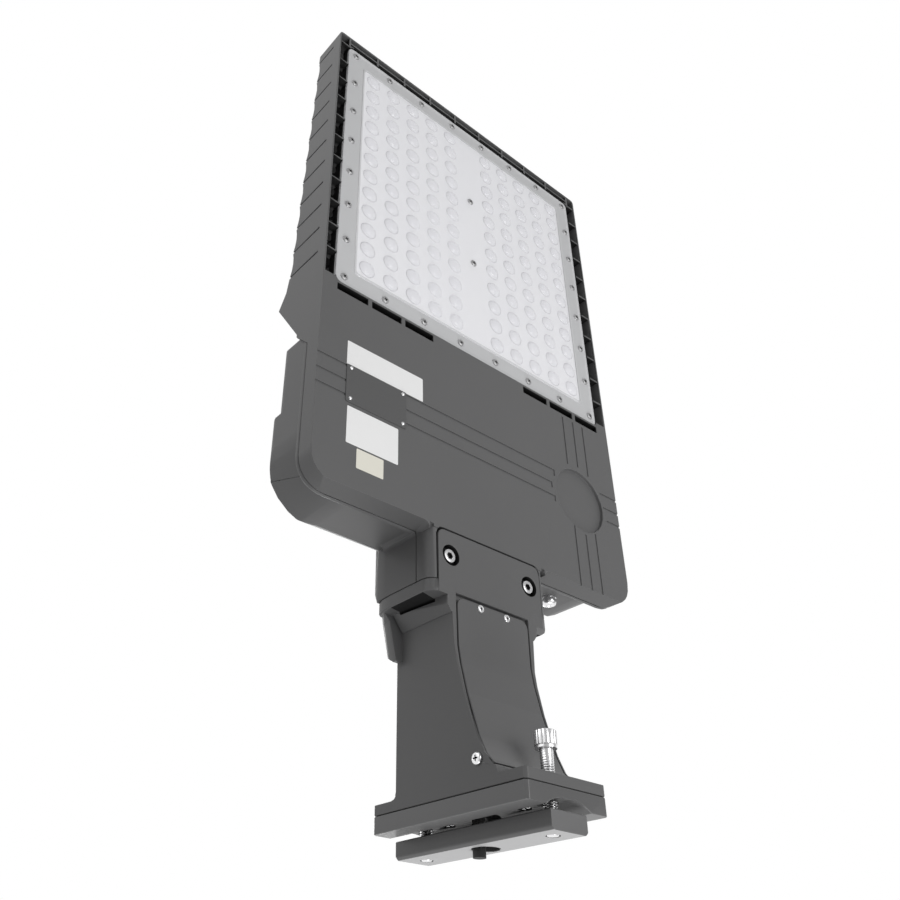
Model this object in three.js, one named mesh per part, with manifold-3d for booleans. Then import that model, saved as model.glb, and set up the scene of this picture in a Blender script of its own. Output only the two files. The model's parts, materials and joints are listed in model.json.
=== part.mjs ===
// Shoebox area light: a flat LED head on a straight arm that bolts to a round pole.
// Millimetres. +X runs from the pole to the tip of the head, +Z is up, the lens faces -Z.
// The origin is on the pole face of the adapter, midway between the two pole bolts.

import * as THREE from 'three';
import { mergeVertices } from 'three/addons/utils/BufferGeometryUtils.js';
import Module from 'manifold-3d';

const wasm = await Module();
wasm.setup();

// Driving sizes of the whole light

const poleFaceToHead = 193;
const headLength = 501.5;
const headWidth = 331;
const axisToFront = 18;
const seatGap = 0.3;
const overrun = 2;

// Head: depths are measured from the front face to the rear

const tipDepth = 33.7;
const finEndDepth = 50.1;
const ridgeDepth = 62.3;
const veeDepth = 31.2;
const bayLength = 137;
const veeGap = 2.4;
const ridgeFromLens = 1.6;
const ridgeFlankDip = 3;
const seamDepth = 15;
const seamRiseLength = 16;
const frontPlate = 3;
const bayWall = 4;
const sheetWall = 3;
const endDraft = 2.5;
const headCornerRadius = 22;
const tipCornerRadius = 4;

// Lens area of the head

const lensTipGap = 13;
const lensFromBay = 45.7;
const lensSideGap = 12.3;
const lensSetback = 1.5;
const lensSheet = 2;
const lensCornerRadius = 5;
const gasketThickness = 1.5;
const ledgeWidth = 20;
const ledgeHeight = 2.6;
const baseThickness = 3.2;
const lensFit = 0.3;

// Vents, side slots and rear fins

const rimWall = 1.8;
const ventEndMargin = 3.85;
const tipToFirstRib = 14.5;
const ventCount = 11;
const ribWidth = 1.6;
const ribSetback = 0.4;
const tipVentCount = 9;
const tipRibWidth = 2.2;
const tipBarWidth = 1.4;
const tipBarFromTip = 8.4;
const baseVentWidth = 7;
const baseVentMargin = 2.2;
const baseVentRib = 4;
const baseVentsEachSide = 3;
const slotWidth = 1.8;
const scallopDepth = 2.5;
const scallopSteps = 4;
const finWidth = 2;
const finsPerPitch = 2;
const firstFinShare = 0.5;

// Grooves and the round recess in the front plate

const grooveWidth = 2;
const grooveDepth = 0.8;
const discRadius = 30;
const discDepth = 3;
const discRim = 3;
const discFromHeadStart = 86;
const discFromAxis = 114;
const plateLength = 170;

// Grooves as shares of the radius of the round recess, measured from its centre: three
// run across the plate with a hooked end, three run along it, and all stop at the recess

const crossGrooveShares = [0.607, 0.147, -0.28];
const crossGrooveEndShares = [-1, -1.15, -1.067];
const crossHookShares = [-0.183, -0.163, -0.157];
const longGrooveShares = [-0.38, 0.077, 0.51];
const longGrooveStopShares = [[1.1, -0.9], [1.167, -1.083], [1.017, -0.91]];
const shortGrooveShares = [0.967, 1.05, 1.133];

// Domes and screws of the lens

const domeRows = 12;
const domesEachSide = 5;
const domeEndMargin = 29.9;
const domeSideMargin = 30.2;
const domeRadius = 8;
const domeTopRadius = 3.6;
const domeHeight = 3.2;
const domeSides = 6;
const lensScrewInset = 8.2;
const lensScrewsPerSide = 8;
const lensScrewHeadRadius = 3.4;
const lensScrewHeadHeight = 1.4;
const lensScrewRadius = 1.6;
const lensScrewHole = 2.2;
const lensScrewLength = 8.3;
const centreScrewSpacing = 83.7;
const centreScrewShift = 4.7;
const centreBossRadius = 3.8;
const headTopShare = 0.78;

// LED boards

const boardThickness = 1.6;
const boardGap = 8.4;
const boardFit = 0.5;

// Driver bay: cover, seal and what it holds

const coverWall = 2.6;
const coverFlange = 3.4;
const coverInset = 2;
const coverCornerRadius = 45;
const coverEdgeRadius = 10;
const coverDepth = 62;
const coverCrown = 5;
const coverLowDepth = 54;
const coverLowSlope = 1;
const coverHighLength = 76;
const coverStepSlope = 4;
const sealThickness = 0.6;
const sealFit = 0.02;
const sealInset = 0.6;
const sealWidth = 1.6;
const driverLength = 220;
const driverWidth = 68;
const driverHeight = 38;
const driverFromBayEnd = 12;
const driverEdgeFromSide = 17;
const surgeLength = 46;
const surgeWidth = 34;
const surgeHeight = 26;
const surgeFromHeadStart = 11;
const surgeFromSide = 60;
const terminalLength = 22;
const terminalWidth = 30;
const terminalHeight = 30;
const terminalFromHeadStart = 21;
const moduleChamfer = 2;

// Neck between the head and the arm

const neckWidth = 120;
const neckLength = 39.5;
const neckDepth = 68;
const neckFrontRadius = 9;
const neckRearRound = 18;
const neckRearCorner = 6;
const neckTaper = 6;
const neckTaperLength = 11;
const neckWall = 3;
const neckFillet = 5;
const bulkheadThickness = 3;
const bulkheadWidth = 84;
const bulkheadHeight = 42;

// Arm

const tongueWidth = 104;
const tongueReach = 1;
const tongueThickness = 10;
const tongueCornerRadius = 6;
const tongueFit = 1.3;
const tongueShoulder = 7.5;
const tongueTaper = 8.3;
const collarLength = 9.5;
const flareWidth = 100;
const flareFrontWidth = 89;
const flareLength = 12;
const flareTop = 53;
const collarDepth = 63;
const collarSlotHeight = 2;
const collarSlotWidth = 34;
const collarSlotFromFront = 12;
const humpDepth = 68;
const humpWidthAtCollar = 113;
const humpWidthAtStep = 103;
const humpWidthAtEnd = 91;
const humpStep = 5;
const humpLength = 33;
const humpSlope = 6;
const humpRound = 12;
const flangeFillet = 5;
const armWidthAtCollar = 82;
const armWidthAtFlange = 72;
const armBackAtCollar = 40.5;
const armBackAtFlange = 47;
const armFlare = 30;
const armWall = 4;
const flangeThickness = 7;
const flangeHeight = 143.5;
const flangeChamfer = 2;
const armFlareShares = [
  [0, 1.04], [0.036, 1], [0.107, 0.733], [0.202, 0.55], [0.44, 0.24], [0.615, 0.067], [0.722, 0],
];

// Cover over the wiring space in the arm

const wiringCoverWidth = 70;
const wiringCoverThickness = 3;
const wiringCoverFromFlange = 6.5;
const footGapLength = 2.6;
const footGapWidth = 42;
const footGapDepth = 3.4;
const wiringCoverTopGap = 2.4;
const wiringCoverFromCollar = -0.8;
const wiringCoverFit = 1.2;
const wiringLedge = 6;
const wiringScrewSpacing = 26;
const wiringScrewFromTop = 3.3;
const smallScrewHeadRadius = 2.9;
const smallScrewHeadHeight = 1.3;
const smallScrewRadius = 1.5;
const smallScrewHole = 1.9;
const smallScrewLength = 9;
const sideScrewFromFlange = 11;
const sideScrewDrop = 33;
const sideScrewHeadRadius = 4;
const sideScrewHeadHeight = 2.2;

// Bolts through the tongue

const neckBoltSpacing = 80;
const neckBoltFromTongueEnd = 19;
const neckBoltHeadRadius = 5.2;
const neckBoltHeadHeight = 5.2;
const neckBoltRadius = 3;
const neckBoltLength = 19;
const neckBoltSinkRadius = 8;
const neckBoltSinkDepth = 6;
const neckBossRadius = 7;
const neckBossHeight = 10;
const socketDepth = 2.6;
const socketRadius = 2.6;

// Pole adapter, clamp bar and pole bolts

const adapterThickness = 11.4;
const adapterGasket = 0.6;
const adapterGasketInset = 1;
const poleRadius = 38;
const poleSeatDepth = 5.8;
const adapterScrewSpacing = 70;
const adapterScrewHeadRadius = 5;
const adapterScrewHeadHeight = 3.2;
const adapterScrewRadius = 2.8;
const adapterScrewLength = 9;
const leadHoleRadius = 11;
const barThickness = 12;
const barWidth = 32;
const barHeight = 142;
const barGap = 1.5;
const barHoleRadius = 9.4;
const barChamfer = 2;
const poleBoltSpacing = 114.3;
const poleBoltRadius = 4.3;
const poleBoltHole = 4.9;
const poleBoltThread = 4.6;
const poleBoltHeadRadius = 7.3;
const poleBoltHeadHeight = 9.6;
const poleBoltLift = 18.2;
const poleSocketRadius = 3.9;
const poleSocketDepth = 5;
const washerThickness = 2.2;
const washerRadius = 7.1;
const washerHole = 4.7;
const flatWasherRelief = 0.3;

// Supply lead, its gland and the breather plug

const leadRadius = 4.4;
const leadSides = 10;
const leadSteps = 14;
const leadHeight = 8;
const leadEndHeight = 4;
const leadEndSide = -2;
const leadStub = 5;
const glandBoreRadius = 4.8;
const glandBodyRadius = 8;
const glandNutRadius = 11.5;
const glandNutLength = 7;
const glandBodyLength = 13;
const ventPlugFromAxis = 100;
const ventPlugDepth = 33;
const ventPlugRadius = 6.2;
const ventPlugHeight = 7;
const ventPlugStemRadius = 4.5;
const ventPlugStemLength = 9;
const ventPlugBevel = 1.2;

// Facets

const roundSides = 12;
const holeSides = 8;
const lensScrewSides = 6;
const largeRoundSides = 24;
const poleSeatSides = 96;
const socketSides = 6;
const arcSteps = 6;
const smallArcSteps = 3;

// Places worked out from the sizes

const frontZ = -axisToFront;
const headStart = poleFaceToHead;
const headEnd = headStart + headLength;
const headSide = headWidth / 2;
const bayEnd = headStart + bayLength;
const veeX = bayEnd + veeGap;
const veeZ = frontZ + veeDepth;
const lensStart = bayEnd + lensFromBay;
const ridgeX = lensStart + ridgeFromLens;
const ridgeZ = frontZ + ridgeDepth;
const finEndZ = frontZ + finEndDepth;
const tipZ = frontZ + tipDepth;
const seamZ = frontZ + seamDepth;
const plateZ = frontZ + frontPlate;
const firstRibX = headEnd - tipToFirstRib;

const lensEnd = headEnd - lensTipGap;
const lensLength = lensEnd - lensStart;
const lensSide = headSide - lensSideGap;
const finPitch = (lensLength - ventEndMargin) / ventCount;
const finEndX = firstRibX - (ventCount - 1) * finPitch;
const lensMidX = (lensStart + lensEnd) / 2;
const lensFrontZ = frontZ + lensSetback;
const lensBackZ = lensFrontZ + lensSheet;
const ledgeZ = lensBackZ + gasketThickness;
const baseZ = ledgeZ + ledgeHeight;
const baseBackZ = baseZ + baseThickness;
const boardStart = lensStart + ledgeWidth;
const boardEnd = lensEnd - ledgeWidth;
const boardSide = lensSide - ledgeWidth;

const coverStart = headStart + coverInset;
const coverZ = frontZ + coverDepth;
const neckZ = frontZ + neckDepth;
const neckSide = neckWidth / 2;
const neckStart = headStart - neckLength;
const tongueSide = tongueWidth / 2;
const tongueEnd = headStart + tongueReach;
const tongueBackZ = frontZ + tongueThickness;
const tongueFloorZ = tongueBackZ + seatGap;
const collarEnd = neckStart - seatGap;
const collarX = collarEnd - collarLength;

const flangeStart = adapterThickness + adapterGasket;
const flangeEnd = flangeStart + flangeThickness;
const armLength = collarX - flangeEnd;
const flangeSide = armWidthAtFlange / 2;
const flangeTop = flangeHeight / 2;
const wiringCoverEnd = collarX - wiringCoverFromCollar;
const wiringCoverStart = flangeEnd + wiringCoverFromFlange;
const wiringCoverSide = wiringCoverWidth / 2;
const neckBoltX = tongueEnd - neckBoltFromTongueEnd;
const neckBoltY = neckBoltSpacing / 2;
const poleBoltZ = poleBoltSpacing / 2;
const barFrontX = -barGap;
const barBackX = barFrontX - barThickness;
const barTop = barHeight / 2;
const washerX = flangeEnd + poleBoltLift;

// Shape helpers

function solidOf(geometry) {
  geometry.deleteAttribute('normal');
  geometry.deleteAttribute('uv');
  const merged = mergeVertices(geometry);
  const place = merged.attributes.position;
  const corners = [];
  const point = (i) => new THREE.Vector3().fromBufferAttribute(place, i);
  let volume = 0;
  for (let i = 0; i < merged.index.count; i += 3) {
    const [a, b, c] = [0, 1, 2].map((k) => merged.index.getX(i + k));
    if (a === b || b === c || c === a) continue;
    corners.push([a, b, c]);
    volume += point(a).dot(point(b).cross(point(c)));
  }
  const wound = volume < 0 ? corners.map(([a, b, c]) => [a, c, b]) : corners;
  return new wasm.Manifold(new wasm.Mesh({
    numProp: 3,
    vertProperties: new Float32Array(place.array),
    triVerts: new Uint32Array(wound.flat()),
  }));
}

function geometryOf(solid) {
  const mesh = solid.getMesh();
  const geometry = new THREE.BufferGeometry();
  geometry.setAttribute('position', new THREE.BufferAttribute(mesh.vertProperties, 3));
  geometry.setIndex(new THREE.BufferAttribute(mesh.triVerts, 1));
  geometry.computeVertexNormals();
  return geometry;
}

function joined(solids) {
  return solids.reduce((whole, piece) => whole.add(piece));
}

function block([x0, x1], [y0, y1], [z0, z1]) {
  const geometry = new THREE.BoxGeometry(x1 - x0, y1 - y0, z1 - z0);
  geometry.translate((x0 + x1) / 2, (y0 + y1) / 2, (z0 + z1) / 2);
  return solidOf(geometry);
}

// Rounds the corners of an outline: each corner is [a, b] or [a, b, radius].
function rounded(corners, steps = arcSteps) {
  const points = [];
  corners.forEach(([a, b, radius = 0], i) => {
    const here = new THREE.Vector2(a, b);
    if (radius === 0) {
      points.push(here);
      return;
    }
    const before = new THREE.Vector2(...corners.at(i - 1).slice(0, 2)).sub(here).normalize();
    const after = new THREE.Vector2(...corners[(i + 1) % corners.length].slice(0, 2)).sub(here);
    after.normalize();
    const half = Math.acos(THREE.MathUtils.clamp(before.dot(after), -1, 1)) / 2;
    const middle = before.clone().add(after).normalize().multiplyScalar(radius / Math.sin(half));
    const centre = here.clone().add(middle);
    const first = here.clone().addScaledVector(before, radius / Math.tan(half)).sub(centre);
    const last = here.clone().addScaledVector(after, radius / Math.tan(half)).sub(centre);
    const sweep = Math.atan2(first.cross(last), first.dot(last));
    for (let k = 0; k <= steps; k += 1) {
      points.push(first.clone().rotateAround(new THREE.Vector2(), sweep * k / steps).add(centre));
    }
  });
  return points;
}

const axisX = new THREE.Vector3(1, 0, 0);
const axisY = new THREE.Vector3(0, 1, 0);
const axisZ = new THREE.Vector3(0, 0, 1);

// Extrudes an outline along one axis. Outlines are written (y, z), (x, z) or (x, y).
function prism(axis, points, from, to) {
  const outline = points.map((p) => (Array.isArray(p) ? new THREE.Vector2(...p) : p));
  const shape = new THREE.Shape(outline);
  const geometry = new THREE.ExtrudeGeometry(shape, { depth: to - from, bevelEnabled: false });
  if (axis === 'x') {
    geometry.applyMatrix4(new THREE.Matrix4().makeBasis(axisY, axisZ, axisX));
    geometry.translate(from, 0, 0);
  } else if (axis === 'y') {
    geometry.applyMatrix4(new THREE.Matrix4().makeBasis(axisX, axisZ, axisY.clone().negate()));
    geometry.translate(0, to, 0);
  } else {
    geometry.translate(0, 0, from);
  }
  return solidOf(geometry);
}

// Solid through (y, z) outlines at rising values of x, all with the same number of points.
function lofted(sections) {
  const places = sections.flatMap(([x, outline]) => outline.flatMap((p) => [x, p.x, p.y]));
  const [, first] = sections[0];
  const last = (sections.length - 1) * first.length;
  const faces = [];
  THREE.ShapeUtils.triangulateShape(first, []).forEach(([a, b, c]) => {
    faces.push(c, b, a, last + a, last + b, last + c);
  });
  for (let i = 0; i < last; i += 1) {
    const next = (i + 1) % first.length === 0 ? i + 1 - first.length : i + 1;
    faces.push(i, next, next + first.length, i, next + first.length, i + first.length);
  }
  const geometry = new THREE.BufferGeometry();
  geometry.setAttribute('position', new THREE.Float32BufferAttribute(places, 3));
  geometry.setIndex(faces);
  return solidOf(geometry);
}

// Turns a profile of [radius, height] points round an axis that passes through a centre.
function turned(axis, profile, [x, y, z], sides = roundSides) {
  const points = profile.map(([radius, height]) => new THREE.Vector2(radius, height));
  const geometry = new THREE.LatheGeometry(points, sides);
  if (axis === 'x') geometry.rotateZ(-Math.PI / 2);
  if (axis === 'z') geometry.rotateX(Math.PI / 2);
  geometry.translate(x, y, z);
  return solidOf(geometry);
}

function rod(axis, radius, from, to, [a, b], sides = roundSides) {
  const centre = { x: [0, a, b], y: [a, 0, b], z: [a, b, 0] }[axis];
  return turned(axis, [[0, from], [radius, from], [radius, to], [0, to]], centre, sides);
}

function mirroredInY(solid) {
  return solid.mirror([0, 1, 0]);
}

// Plan outline of the head between two values of x, drawn in by an inset.
function headPlan(inset, startX, endX, endRadius) {
  const side = headSide - inset;
  const startRadius = Math.max(headCornerRadius - inset, seatGap);
  return rounded([
    [startX, -side, startRadius], [endX, -side, endRadius],
    [endX, side, endRadius], [startX, side, startRadius],
  ]);
}

// Rear edge of the fins, straight from the tip to the last fin.
function finTopZ(x) {
  return THREE.MathUtils.mapLinear(x, headEnd, finEndX, tipZ, finEndZ);
}

const slotPlaces = Array.from({ length: ventCount }, (_, i) => firstRibX - i * finPitch);

// Side view of the housing: front face, tip, scalloped rear edge, ridge, vee and seam.
function housingProfile() {
  const points = [
    [headStart + endDraft, frontZ], [headEnd, frontZ], [headEnd, tipZ],
    [firstRibX, finTopZ(firstRibX)],
  ];
  slotPlaces.slice(0, -1).forEach((x) => {
    for (let k = 1; k <= scallopSteps; k += 1) {
      const share = k / scallopSteps;
      const at = x - share * finPitch;
      points.push([at, finTopZ(at) - scallopDepth * Math.sin(Math.PI * share)]);
    }
  });
  const flankMiddle = [(finEndX + ridgeX) / 2, (finEndZ + ridgeZ) / 2 - ridgeFlankDip];
  points.push([finEndX, finEndZ], flankMiddle, [ridgeX, ridgeZ], [veeX, veeZ], [bayEnd, veeZ]);
  points.push([bayEnd - seamRiseLength, seamZ], [headStart, seamZ]);
  return points;
}

// Fins that run across the rear, two to each pitch of the slots, from the tip to the ridge.
function finPlaces() {
  const count = (ventCount - 1) * finsPerPitch + finsPerPitch;
  const step = finPitch / finsPerPitch;
  return Array.from({ length: count }, (_, j) => firstRibX - (j + firstFinShare) * step);
}

// Air channels between the fins, open to the rear.
function channels() {
  const stops = [headEnd - rimWall + finWidth / 2, ...finPlaces(), ridgeX];
  const side = headSide - rimWall;
  return stops.slice(1).map((x, i) => block(
    [x + finWidth / 2, stops[i] - finWidth / 2], [-side, side], [baseBackZ, ridgeZ + overrun],
  ));
}

function ventCells() {
  const back = baseBackZ + overrun;
  const front = frontZ - overrun;
  const inner = lensSide + lensFit;
  const outer = headSide - rimWall;
  const cells = [];
  for (let i = 0; i < ventCount; i += 1) {
    const end = firstRibX - i * finPitch - ribWidth / 2;
    const start = end - finPitch + ribWidth;
    cells.push(block([start, end], [inner, outer], [front, back]));
    cells.push(block([start, end], [-outer, -inner], [front, back]));
  }
  const barX = headEnd - tipBarFromTip;
  const rows = [[lensEnd + lensFit, barX - tipBarWidth / 2], [barX + tipBarWidth / 2, headEnd - rimWall]];
  const pitch = 2 * inner / tipVentCount;
  for (let k = 0; k < tipVentCount; k += 1) {
    const from = -inner + k * pitch + tipRibWidth / 2;
    rows.forEach((row) => {
      cells.push(block(row, [from, from + pitch - tipRibWidth], [front, back]));
    });
    const middle = Math.abs(k - (tipVentCount - 1) / 2);
    if (middle > (tipVentCount - 1) / 2 - baseVentsEachSide) {
      const side = -inner + k * pitch + baseVentRib / 2;
      const end = lensStart - baseVentMargin;
      cells.push(block([end - baseVentWidth, end], [side, side + pitch - baseVentRib], [front, baseZ]));
    }
  }
  const cornerStart = firstRibX + ribWidth / 2;
  [-outer, inner + tipRibWidth / 2].forEach((from) => {
    const to = from + outer - inner - tipRibWidth / 2;
    cells.push(block([cornerStart, headEnd - rimWall], [from, to], [front, back]));
  });
  return joined(cells);
}

function sideSlots() {
  return joined(slotPlaces.flatMap((x) => [-1, 1].map((side) => {
    const ys = [side * (headSide - rimWall - overrun), side * (headSide + overrun)].sort((a, b) => a - b);
    return block([x - slotWidth / 2, x + slotWidth / 2], ys, [baseBackZ, ridgeZ]);
  })));
}

function groove([x0, x1], [y0, y1]) {
  return block([x0, x1], [y0, y1], [frontZ - overrun, frontZ + grooveDepth]);
}

function frontGrooves() {
  const half = grooveWidth / 2;
  const discX = headStart + discFromHeadStart;
  const cuts = [];
  crossGrooveShares.forEach((share, i) => {
    const x = discX + share * discRadius;
    const end = discFromAxis + crossGrooveEndShares[i] * discRadius;
    const hook = x + crossHookShares[i] * discRadius;
    const start = discFromAxis + shortGrooveShares[i] * discRadius;
    cuts.push(groove([x - half, x + half], [-headSide - overrun, end]));
    cuts.push(groove([hook, x + half], [end - grooveWidth, end]));
    cuts.push(groove([x - half, x + half], [start, headSide + overrun]));
  });
  longGrooveShares.forEach((share, i) => {
    const y = discFromAxis + share * discRadius;
    const [upper, lower] = longGrooveStopShares[i].map((stop) => discX + stop * discRadius);
    cuts.push(groove([upper, headStart + plateLength], [y - half, y + half]));
    cuts.push(groove([headStart, lower], [y - half, y + half]));
  });
  return joined(cuts);
}

// Places of the screws round the rim of the lens, then the two in its middle.
function lensScrewPlaces() {
  const far = { x: lensLength / 2 - lensScrewInset, y: lensSide - lensScrewInset };
  const places = [];
  const last = lensScrewsPerSide - 1;
  for (let i = 0; i <= last; i += 1) {
    for (let k = 0; k <= last; k += 1) {
      if (i === 0 || k === 0 || i === last || k === last) {
        places.push([lensMidX - far.x + 2 * far.x * i / last, -far.y + 2 * far.y * k / last]);
      }
    }
  }
  [-1, 1].forEach((end) => {
    places.push([lensMidX + centreScrewShift + end * centreScrewSpacing / 2, 0]);
  });
  return places;
}

function lensScrewHoles(from, to, radius = lensScrewHole) {
  return joined(lensScrewPlaces().map((place) => rod('z', radius, from, to, place, lensScrewSides)));
}

function lensOutline(inset) {
  const side = lensSide - inset;
  const radius = Math.max(lensCornerRadius - inset, seatGap);
  return rounded([
    [lensStart + inset, -side, radius], [lensEnd - inset, -side, radius],
    [lensEnd - inset, side, radius], [lensStart + inset, side, radius],
  ], smallArcSteps);
}

// Section of the neck across X: rounded front corners and softly rounded rear corners.
function neckSection(inset, top) {
  const side = neckSide - inset;
  const front = rounded([
    [-side, frontZ + inset, neckFrontRadius], [side, frontZ + inset, neckFrontRadius],
    [side, 0], [-side, 0],
  ], smallArcSteps).slice(0, 2 * (smallArcSteps + 1));
  return [...front, ...rearRounding(side, top, neckRearRound)];
}

// Rear half of a section: both corners are a quarter of an ellipse.
function rearRounding(side, top, height) {
  const rear = [];
  for (let k = 0; k <= smallArcSteps; k += 1) {
    const angle = Math.PI / 2 * k / smallArcSteps;
    rear.push([side - neckRearCorner * (1 - Math.cos(angle)), top - height * (1 - Math.sin(angle))]);
  }
  const mirrored = rear.map(([y, z]) => [-y, z]).reverse();
  return [...rear, ...mirrored].map(([y, z]) => new THREE.Vector2(y, z));
}

// Hollow corner between an end face of the head and the side of the neck.
function neckFilletWedge(side, face, from, to) {
  const corner = [face + bayWall / 2, neckSide - seatGap];
  const points = [corner, [face + bayWall / 2, neckSide + neckFillet]];
  for (let k = 0; k <= smallArcSteps; k += 1) {
    const angle = Math.PI / 2 * k / smallArcSteps;
    points.push([
      face - neckFillet + neckFillet * Math.cos(angle),
      neckSide + neckFillet - neckFillet * Math.sin(angle),
    ]);
  }
  points.push([face - neckFillet, neckSide - seatGap]);
  const wedge = prism('z', points, from, to);
  return side > 0 ? wedge : mirroredInY(wedge);
}

function glandHole() {
  const from = headStart - overrun;
  const to = headStart + bayWall + bulkheadThickness + overrun;
  return rod('x', glandBodyRadius + seatGap, from, to, [0, leadHeight], roundSides);
}

// The die-cast housing, with the lens ledge, the bay and the front half of the neck.
function frontHousing() {
  const side = headSide - bayWall;
  const far = ridgeZ + overrun;
  const body = prism('y', housingProfile(), -headSide, headSide)
    .intersect(prism('z', headPlan(0, headStart, headEnd, tipCornerRadius), frontZ - overrun, far));

  const bay = prism('z', rounded([
    [headStart + bayWall, -side, headCornerRadius - bayWall], [bayEnd - coverWall, -side],
    [bayEnd - coverWall, side], [headStart + bayWall, side, headCornerRadius - bayWall],
  ]), plateZ, far);
  const slope = (ridgeZ - veeZ) / (ridgeX - veeX);
  const hollowStart = veeX + sheetWall;
  const hollowEnd = lensStart - baseVentMargin;
  const ridgeHollow = prism('y', [
    [hollowStart, plateZ], [hollowStart, veeZ - sheetWall * slope],
    [ridgeX - finWidth, ridgeZ - sheetWall * slope - 2 * finWidth], [ridgeX - finWidth, baseBackZ],
    [hollowEnd, baseBackZ], [hollowEnd, plateZ],
  ], -headSide + rimWall, headSide - rimWall);
  const lensSeat = prism('z', lensOutline(-lensFit), frontZ - overrun, ledgeZ);
  const boardSeat = block(
    [boardStart - boardFit, boardEnd + boardFit],
    [-boardSide - boardFit, boardSide + boardFit], [ledgeZ - overrun, baseZ],
  );

  const neckBase = prism('x', neckSection(0, neckZ), neckStart, headStart + bayWall)
    .intersect(block([neckStart, headStart + bayWall], [-neckSide, neckSide], [frontZ, seamZ]));
  const seatEnd = tongueEnd + tongueFit + bayWall;
  const tongueSeat = block(
    [headStart, seatEnd], [-tongueSide - bayWall, tongueSide + bayWall],
    [frontZ, tongueFloorZ + frontPlate],
  );
  const tongueRoom = prism('z', rounded([
    [neckStart - overrun, -tongueSide - tongueFit],
    [tongueEnd + tongueFit, -tongueSide - tongueFit, tongueCornerRadius],
    [tongueEnd + tongueFit, tongueSide + tongueFit, tongueCornerRadius],
    [neckStart - overrun, tongueSide + tongueFit],
  ], smallArcSteps), frontZ - overrun, tongueFloorZ);
  const neckRoom = block(
    [neckStart - overrun, headStart + bayWall + overrun], [-neckSide + neckWall, neckSide - neckWall],
    [tongueFloorZ + frontPlate, seamZ + overrun],
  );
  const bosses = [-neckBoltY, neckBoltY].map((y) => rod(
    'z', neckBossRadius, tongueFloorZ + seatGap, tongueFloorZ + neckBossHeight, [neckBoltX, y],
  ));
  const boltHoles = [-neckBoltY, neckBoltY].map((y) => rod(
    'z', neckBoltRadius + seatGap, tongueFloorZ - overrun,
    frontZ + neckBoltSinkDepth + neckBoltLength + seatGap, [neckBoltX, y],
  ));
  const bulkhead = block(
    [headStart, headStart + bayWall + bulkheadThickness], [-bulkheadWidth / 2, bulkheadWidth / 2],
    [tongueFloorZ, frontZ + bulkheadHeight],
  );
  const discPlace = [headStart + discFromHeadStart, discFromAxis];
  const discBack = rod(
    'z', discRadius + discRim, plateZ - seatGap, plateZ + discDepth, discPlace, largeRoundSides,
  );
  const disc = rod('z', discRadius, frontZ - overrun, frontZ + discDepth, discPlace, largeRoundSides);
  const centreBosses = lensScrewPlaces().slice(-2).map((place) => rod(
    'z', centreBossRadius, lensBackZ, baseZ + seatGap, place,
  ));

  return body
    .subtract(bay)
    .subtract(ridgeHollow)
    .subtract(joined(channels()))
    .subtract(sideSlots())
    .subtract(lensSeat)
    .subtract(boardSeat)
    .subtract(ventCells())
    .subtract(rimRibs())
    .add(neckBase)
    .add(joined([-1, 1].map((s) => neckFilletWedge(s, headStart + endDraft, frontZ, seamZ))))
    .add(tongueSeat)
    .subtract(tongueRoom)
    .subtract(neckRoom)
    .add(bulkhead)
    .add(joined(bosses))
    .add(discBack)
    .add(joined(centreBosses))
    .subtract(joined(boltHoles))
    .subtract(glandHole())
    .subtract(disc)
    .subtract(frontGrooves())
    .subtract(lensScrewHoles(lensBackZ - overrun, lensFrontZ + lensScrewLength + seatGap));
}

// The ribs between the side vents stand back a little from the front face.
function rimRibs() {
  const inner = lensSide + lensFit;
  const outer = headSide - rimWall;
  return joined([[-outer, -inner], [inner, outer]].map((ys) => block(
    [firstRibX - ventCount * finPitch + ribWidth / 2, firstRibX + ribWidth / 2], ys,
    [frontZ - overrun, frontZ + ribSetback],
  )));
}

// One box of the driver cover, drawn in by an inset: rounded corners in plan, rounded rear
// edges, and a rear face that rises a little towards the middle.
function coverBox(inset, endX, slope, depth, crown) {
  const floor = seamZ + (inset === 0 ? sealThickness : -overrun);
  const startX = coverStart + inset;
  const side = headSide - coverInset - inset;
  const top = frontZ + depth - inset;
  const edge = coverEdgeRadius - inset;
  const corner = coverCornerRadius - inset;
  const profile = rounded([
    [startX, floor], [startX, top + crown, edge], [endX - slope, top + crown, edge], [endX, floor],
  ]);
  const section = rounded([
    [-side, floor], [side, floor], [side, top, edge], [neckSide, top + crown],
    [-neckSide, top + crown], [-side, top, edge],
  ]);
  const plan = rounded([
    [startX, -side, corner], [endX, -side, tipCornerRadius],
    [endX, side, tipCornerRadius], [startX, side, corner],
  ]);
  return prism('y', profile, -side, side)
    .intersect(prism('x', section, startX, endX))
    .intersect(prism('z', plan, floor, top + crown));
}

// The cover is deep over the start of the bay and shallower over the rest, and its neck
// part reaches over the neck of the housing.
function coverForm(inset) {
  const floor = seamZ + (inset === 0 ? sealThickness : -overrun);
  const neckEnd = headStart + headCornerRadius;
  const top = neckZ - inset;
  const neckOpen = neckStart - (inset > 0 ? overrun : 0);
  const neck = prism('x', neckSection(inset, top), neckOpen, neckEnd)
    .intersect(prism('y', [
      [neckOpen, floor], [neckEnd, floor], [neckEnd, top], [neckStart + neckTaperLength, top],
      [neckOpen, top - neckTaper],
    ], -neckSide, neckSide));
  const highEnd = coverStart + coverHighLength - inset;
  return coverBox(inset, highEnd, coverStepSlope, coverDepth, coverCrown)
    .add(coverBox(inset, bayEnd - inset, coverLowSlope, coverLowDepth, 0))
    .add(neck);
}

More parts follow.
